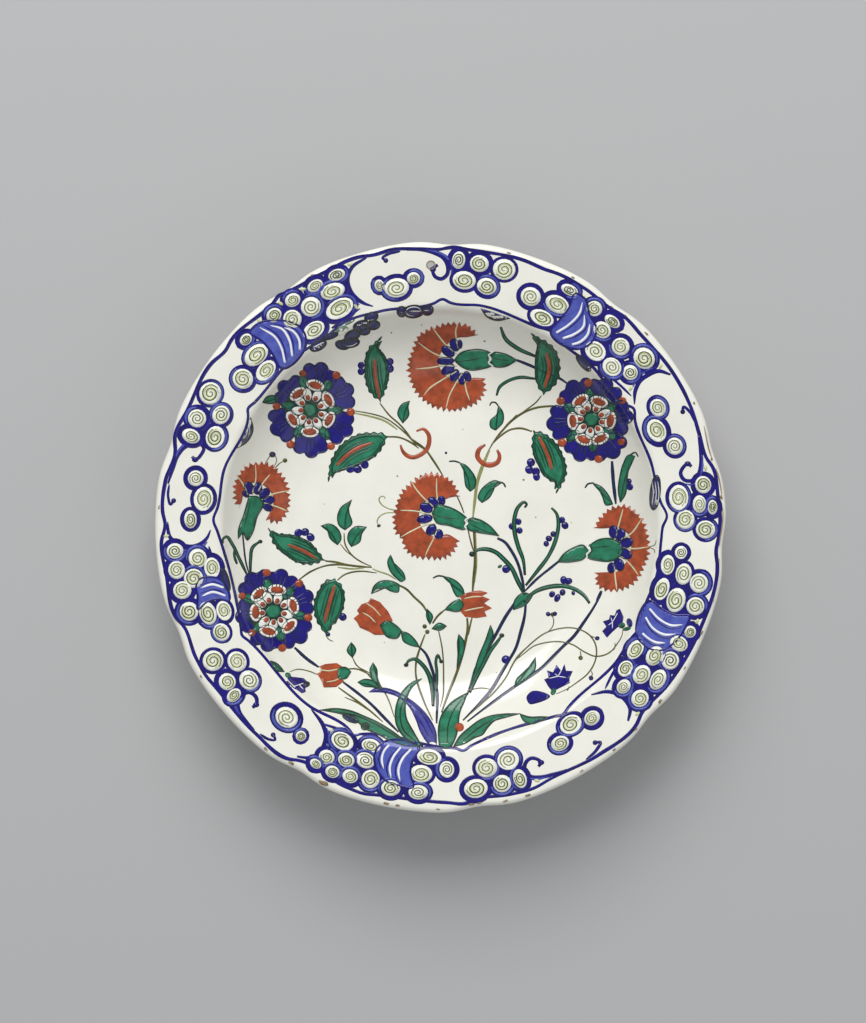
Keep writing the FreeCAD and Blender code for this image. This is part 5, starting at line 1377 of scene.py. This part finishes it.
BLUEBELLS = [
    [(-81, -79), (-81.4, -81.6), (-79.3, -84.9), (-76, -86), (-73.2, -88), (-71.2, -87.4),
     (-71.6, -85.4), (-69.8, -84.6), (-70.3, -82.4), (-72.6, -80.3), (-77, -79.6)],
    [(59.6, -87.6), (57.6, -85.4), (55.2, -81.4), (57.6, -80.4), (56.8, -76.6), (60, -77.6),
     (61.8, -73.6), (64.2, -76.6), (66.2, -73.2), (66.8, -76.6), (70.4, -76.8), (68.6, -80.4),
     (68.6, -83), (63.6, -85.6)],
    [(96.4, -52), (97.2, -48), (95.4, -43.6), (93.6, -44.4), (92.6, -47.2), (90.2, -47),
     (89.6, -49.4), (86.4, -50.4), (88.2, -53.2), (86, -55.6), (88.4, -59), (91.2, -56),
     (93.8, -53.6)],
]
BLUE_DABS = [
    (-42.3, 86, 1.9, 1.8), (-42.3, 82.7, 1.9, 1.9), (-26.9, 88, 2, 2), (-26.9, 84.3, 2.2, 2.1),
    (35.2, -22.7, 2.3, 2.2), (-48, 30.9, 2.5, 2.2), (-44.3, 30.7, 2.4, 2.2),
    (-40.5, 33.2, 2.4, 2.2), (-76, -3.5, 2.4, 2.1), (-72.4, -2.9, 2.3, 2.1),
    (-69.4, -5.7, 2.4, 2.1), (-52.2, -48.3, 2.1, 2.2), (48.4, 34.3, 2.3, 2.3),
    (47.5, 30.4, 2.4, 2.2), (51.1, 29.3, 2.4, 2.2), (51.4, 26.6, 2.2, 1.9), (65, 3.5, 1.8, 1.7),
    (66.6, 0.6, 2.1, 1.9), (60.3, -4, 1.6, 1.5), (58, -6.4, 1.8, 1.6), (56.6, -9.2, 1.6, 1.5),
    (41.7, 2.6, 1.8, 1.7), (38.3, 0.1, 1.9, 1.8), (42.3, -2.1, 1.8, 1.7),
    (65.9, -28.6, 2.2, 1.9), (68.4, -29.2, 2.2, 1.8), (59.7, -36.2, 1.8, 1.6),
    (62.5, -38.2, 1.6, 2.3), (65.3, -35.2, 1.8, 1.6), (100.3, 24.2, 1.5, 1.4),
    (100.6, 21.2, 2, 1.8), (34.9, -71, 2.3, 2.2), (100, -50.8, 2.4, 1.5),
    (71, -35.6, 1.2, 1.0), (57.6, -46.8, 1.3, 1.2), (61.2, -46.6, 1.2, 1.2),
    (79.6, -80, 1.3, 1.2), (83.4, -59.4, 1.3, 1.1), (-60, -57.6, 1.2, 1.2), (3, 39.4, 0.7, 0.7),
]
bell_pot, bell_line_pot = new_pot(), new_pot()
for outline in BLUEBELLS:
    wash(bell_pot, outline, 0.07, 1.4, straight=True)
    centre = np.mean(outline, axis=0)
    for tip in outline[2::3]:
        half_way = centre * 0.3 + np.array(tip) * 0.7
        stroke(bell_line_pot, [centre, half_way], 0.5, level=0.08, ends=(0.9, 0.2))
wash(bell_pot, [(45.7, -91), (47.3, -94.2), (51, -93.8), (58.2, -89.8), (53.7, -87.7),
                (48.2, -87.8)], 0.07, 1.4)
for x, y, long, short in BLUE_DABS:
    dab(bell_pot, x, y, long, short, (x * 37) % 180, 0.08)
bell_cup_pot = new_pot()
for x, y, long, short, turn in [(60, -87.6, 2.0, 1.3, 60), (96.2, -52.4, 1.8, 1.4, 30),
                                (98.6, -54, 2.2, 1.0, 20),
                                (-80.6, -78.6, 1.8, 1.3, -40), (31.8, -21.3, 1.3, 0.8, 30)]:
    dab(bell_cup_pot, x, y, long, short, turn, 0.1)
fire(bell_pot, "bluebells_and_berries", cobalt)
fire(bell_line_pot, "bluebell_lines", petal_white)
fire(bell_cup_pot, "bluebell_calyxes", leaf_green)


# ---------------------------------------------------------------- wear and firing marks
# Centuries of handling chipped the glaze along the rim's edge and stained the bare paste brown.
# A few iron specks came up through the glaze in the kiln, and the hole's edge is stained too.
# All of it is laid on here as thin flat stains.

# Bare paste stained brown by handling.
brown_paste = fired_colour("stained_bare_stonepaste", "#A08A68", "#6E5A42", 1.5, 0.3, 0.5)
RIM_CHIPS = [
    (43.2, 1.1), (52, 0.8), (48.7, 1.2), (76, 0.9), (99.6, 1.1), (117.1, 1.3), (136.7, 1.0),
    (199.5, 0.9), (245.4, 2.2), (231.8, 1.0), (237.7, 1.3), (269.5, 0.9), (261.3, 0.8),
    (258.9, 1.2), (314, 1.0), (307.9, 0.8), (288, 1.3), (283.3, 1.0), (276.3, 1.4), (278, 1.0),
    (359.2, 1.3), (353, 0.9), (338, 1.0), (330, 0.8), (321.5, 1.1), (88, 0.7), (160, 0.8),
    (176, 0.7), (212, 0.8), (6, 1.0), (14, 0.9), (26, 0.7), (62, 0.7), (300, 0.8), (345, 0.7),
]
SPECKS = [
    (-23, 27, 0.5), (44.5, 25, 0.6), (51, 5, 0.4), (-26, 103, 0.5), (-10, 107, 0.4),
    (23.5, 98.7, 0.6), (38.3, -0.2, 1.2), (-62, 12, 0.3), (12, 52, 0.3), (70, 2, 0.3),
    (-30, -62, 0.3), (-98, 66, 0.4), (30, -78, 0.3),
]
CHIP_DISTANCE, WORN_DISTANCE = 147.9, 148.2
chip_pot = new_pot()
chip_hand = np.random.default_rng(5)
for angle, size in RIM_CHIPS:
    edge = CHIP_DISTANCE + float(rim_reach(np.array([angle]))[0])
    x, y = at(angle, edge)
    ragged = oval((x, y), size * 1.3, size * 0.5, angle + 90, 9)
    wash(chip_pot, ragged + chip_hand.normal(0, 0.14, ragged.shape), 0.03, 3.0)
for start, end in [(356, 364), (6, 12), (14, 21)]:
    worn = [
        at(a, WORN_DISTANCE + float(rim_reach(np.array([a]))[0]))
        for a in np.linspace(start, end, 5)
    ]
    stroke(chip_pot, worn, 0.7, ends=(0.2, 0.2))
for x, y, size in SPECKS:
    dab(chip_pot, x, y, size, size * 0.8)
stroke(chip_pot, oval((hole_x, hole_y), 2.25, 2.2, 0, 12), 0.7, closed=True)
fire(chip_pot, "rim_chips_and_specks", brown_paste, slot="stonepaste")


# ---------------------------------------------------------------- table, light and camera
# The dish lies on a plain pale grey table under one large soft light from beyond its top edge and
# a weaker fill from the other side, and the camera looks straight down into it.

TABLE_SIZE_METRES, WORLD_STRENGTH = 14, 0.42
LENS, SENSOR = 147.1, 36.0
CAMERA_X_METRES, CAMERA_Y_METRES, CAMERA_RISE_METRES = -0.00395, 0.00805, 2.2

bpy.ops.mesh.primitive_plane_add(size=TABLE_SIZE_METRES)
table = bpy.context.object
table.name = "table"
# Plain matt board, with no shine of its own.
matt = bpy.data.materials.new("matt_grey_board")
matt.use_nodes = True
board = matt.node_tree.nodes["Principled BSDF"]
board.inputs["Base Color"].default_value = linear("#B4B4B4")
board.inputs["Roughness"].default_value = 1.0
board.inputs["Specular IOR Level"].default_value = 0.0
table.data.materials.append(matt)


def soft_light(name, place, size, watts):
    """A square soft box that faces the middle of the dish."""
    lamp = bpy.data.lights.new(name, "AREA")
    lamp.size = size
    lamp.energy = watts
    box = bpy.data.objects.new(name, lamp)
    bpy.context.collection.objects.link(box)
    box.location = place
    box.rotation_euler = (Vector((0, 0, 0.03)) - Vector(place)).to_track_quat("-Z", "Y").to_euler()


soft_light("key_soft_box", (-0.3, 1.9, 2.0), 1.9, 66)
soft_light("fill_soft_box", (1.2, -1.4, 2.4), 2.4, 12)
world = bpy.data.worlds.new("studio")
bpy.context.scene.world = world
world.use_nodes = True
world.node_tree.nodes["Background"].inputs["Color"].default_value = linear("#F4F6FA")
world.node_tree.nodes["Background"].inputs["Strength"].default_value = WORLD_STRENGTH

lens = bpy.data.cameras.new("camera")
lens.lens = LENS
lens.sensor_width = SENSOR
lens.sensor_fit = "AUTO"
camera = bpy.data.objects.new("camera", lens)
bpy.context.collection.objects.link(camera)
camera.location = (CAMERA_X_METRES, CAMERA_Y_METRES, cad_high.z + CAMERA_RISE_METRES)
bpy.context.scene.camera = camera
bpy.context.scene.view_settings.view_transform = "Standard"
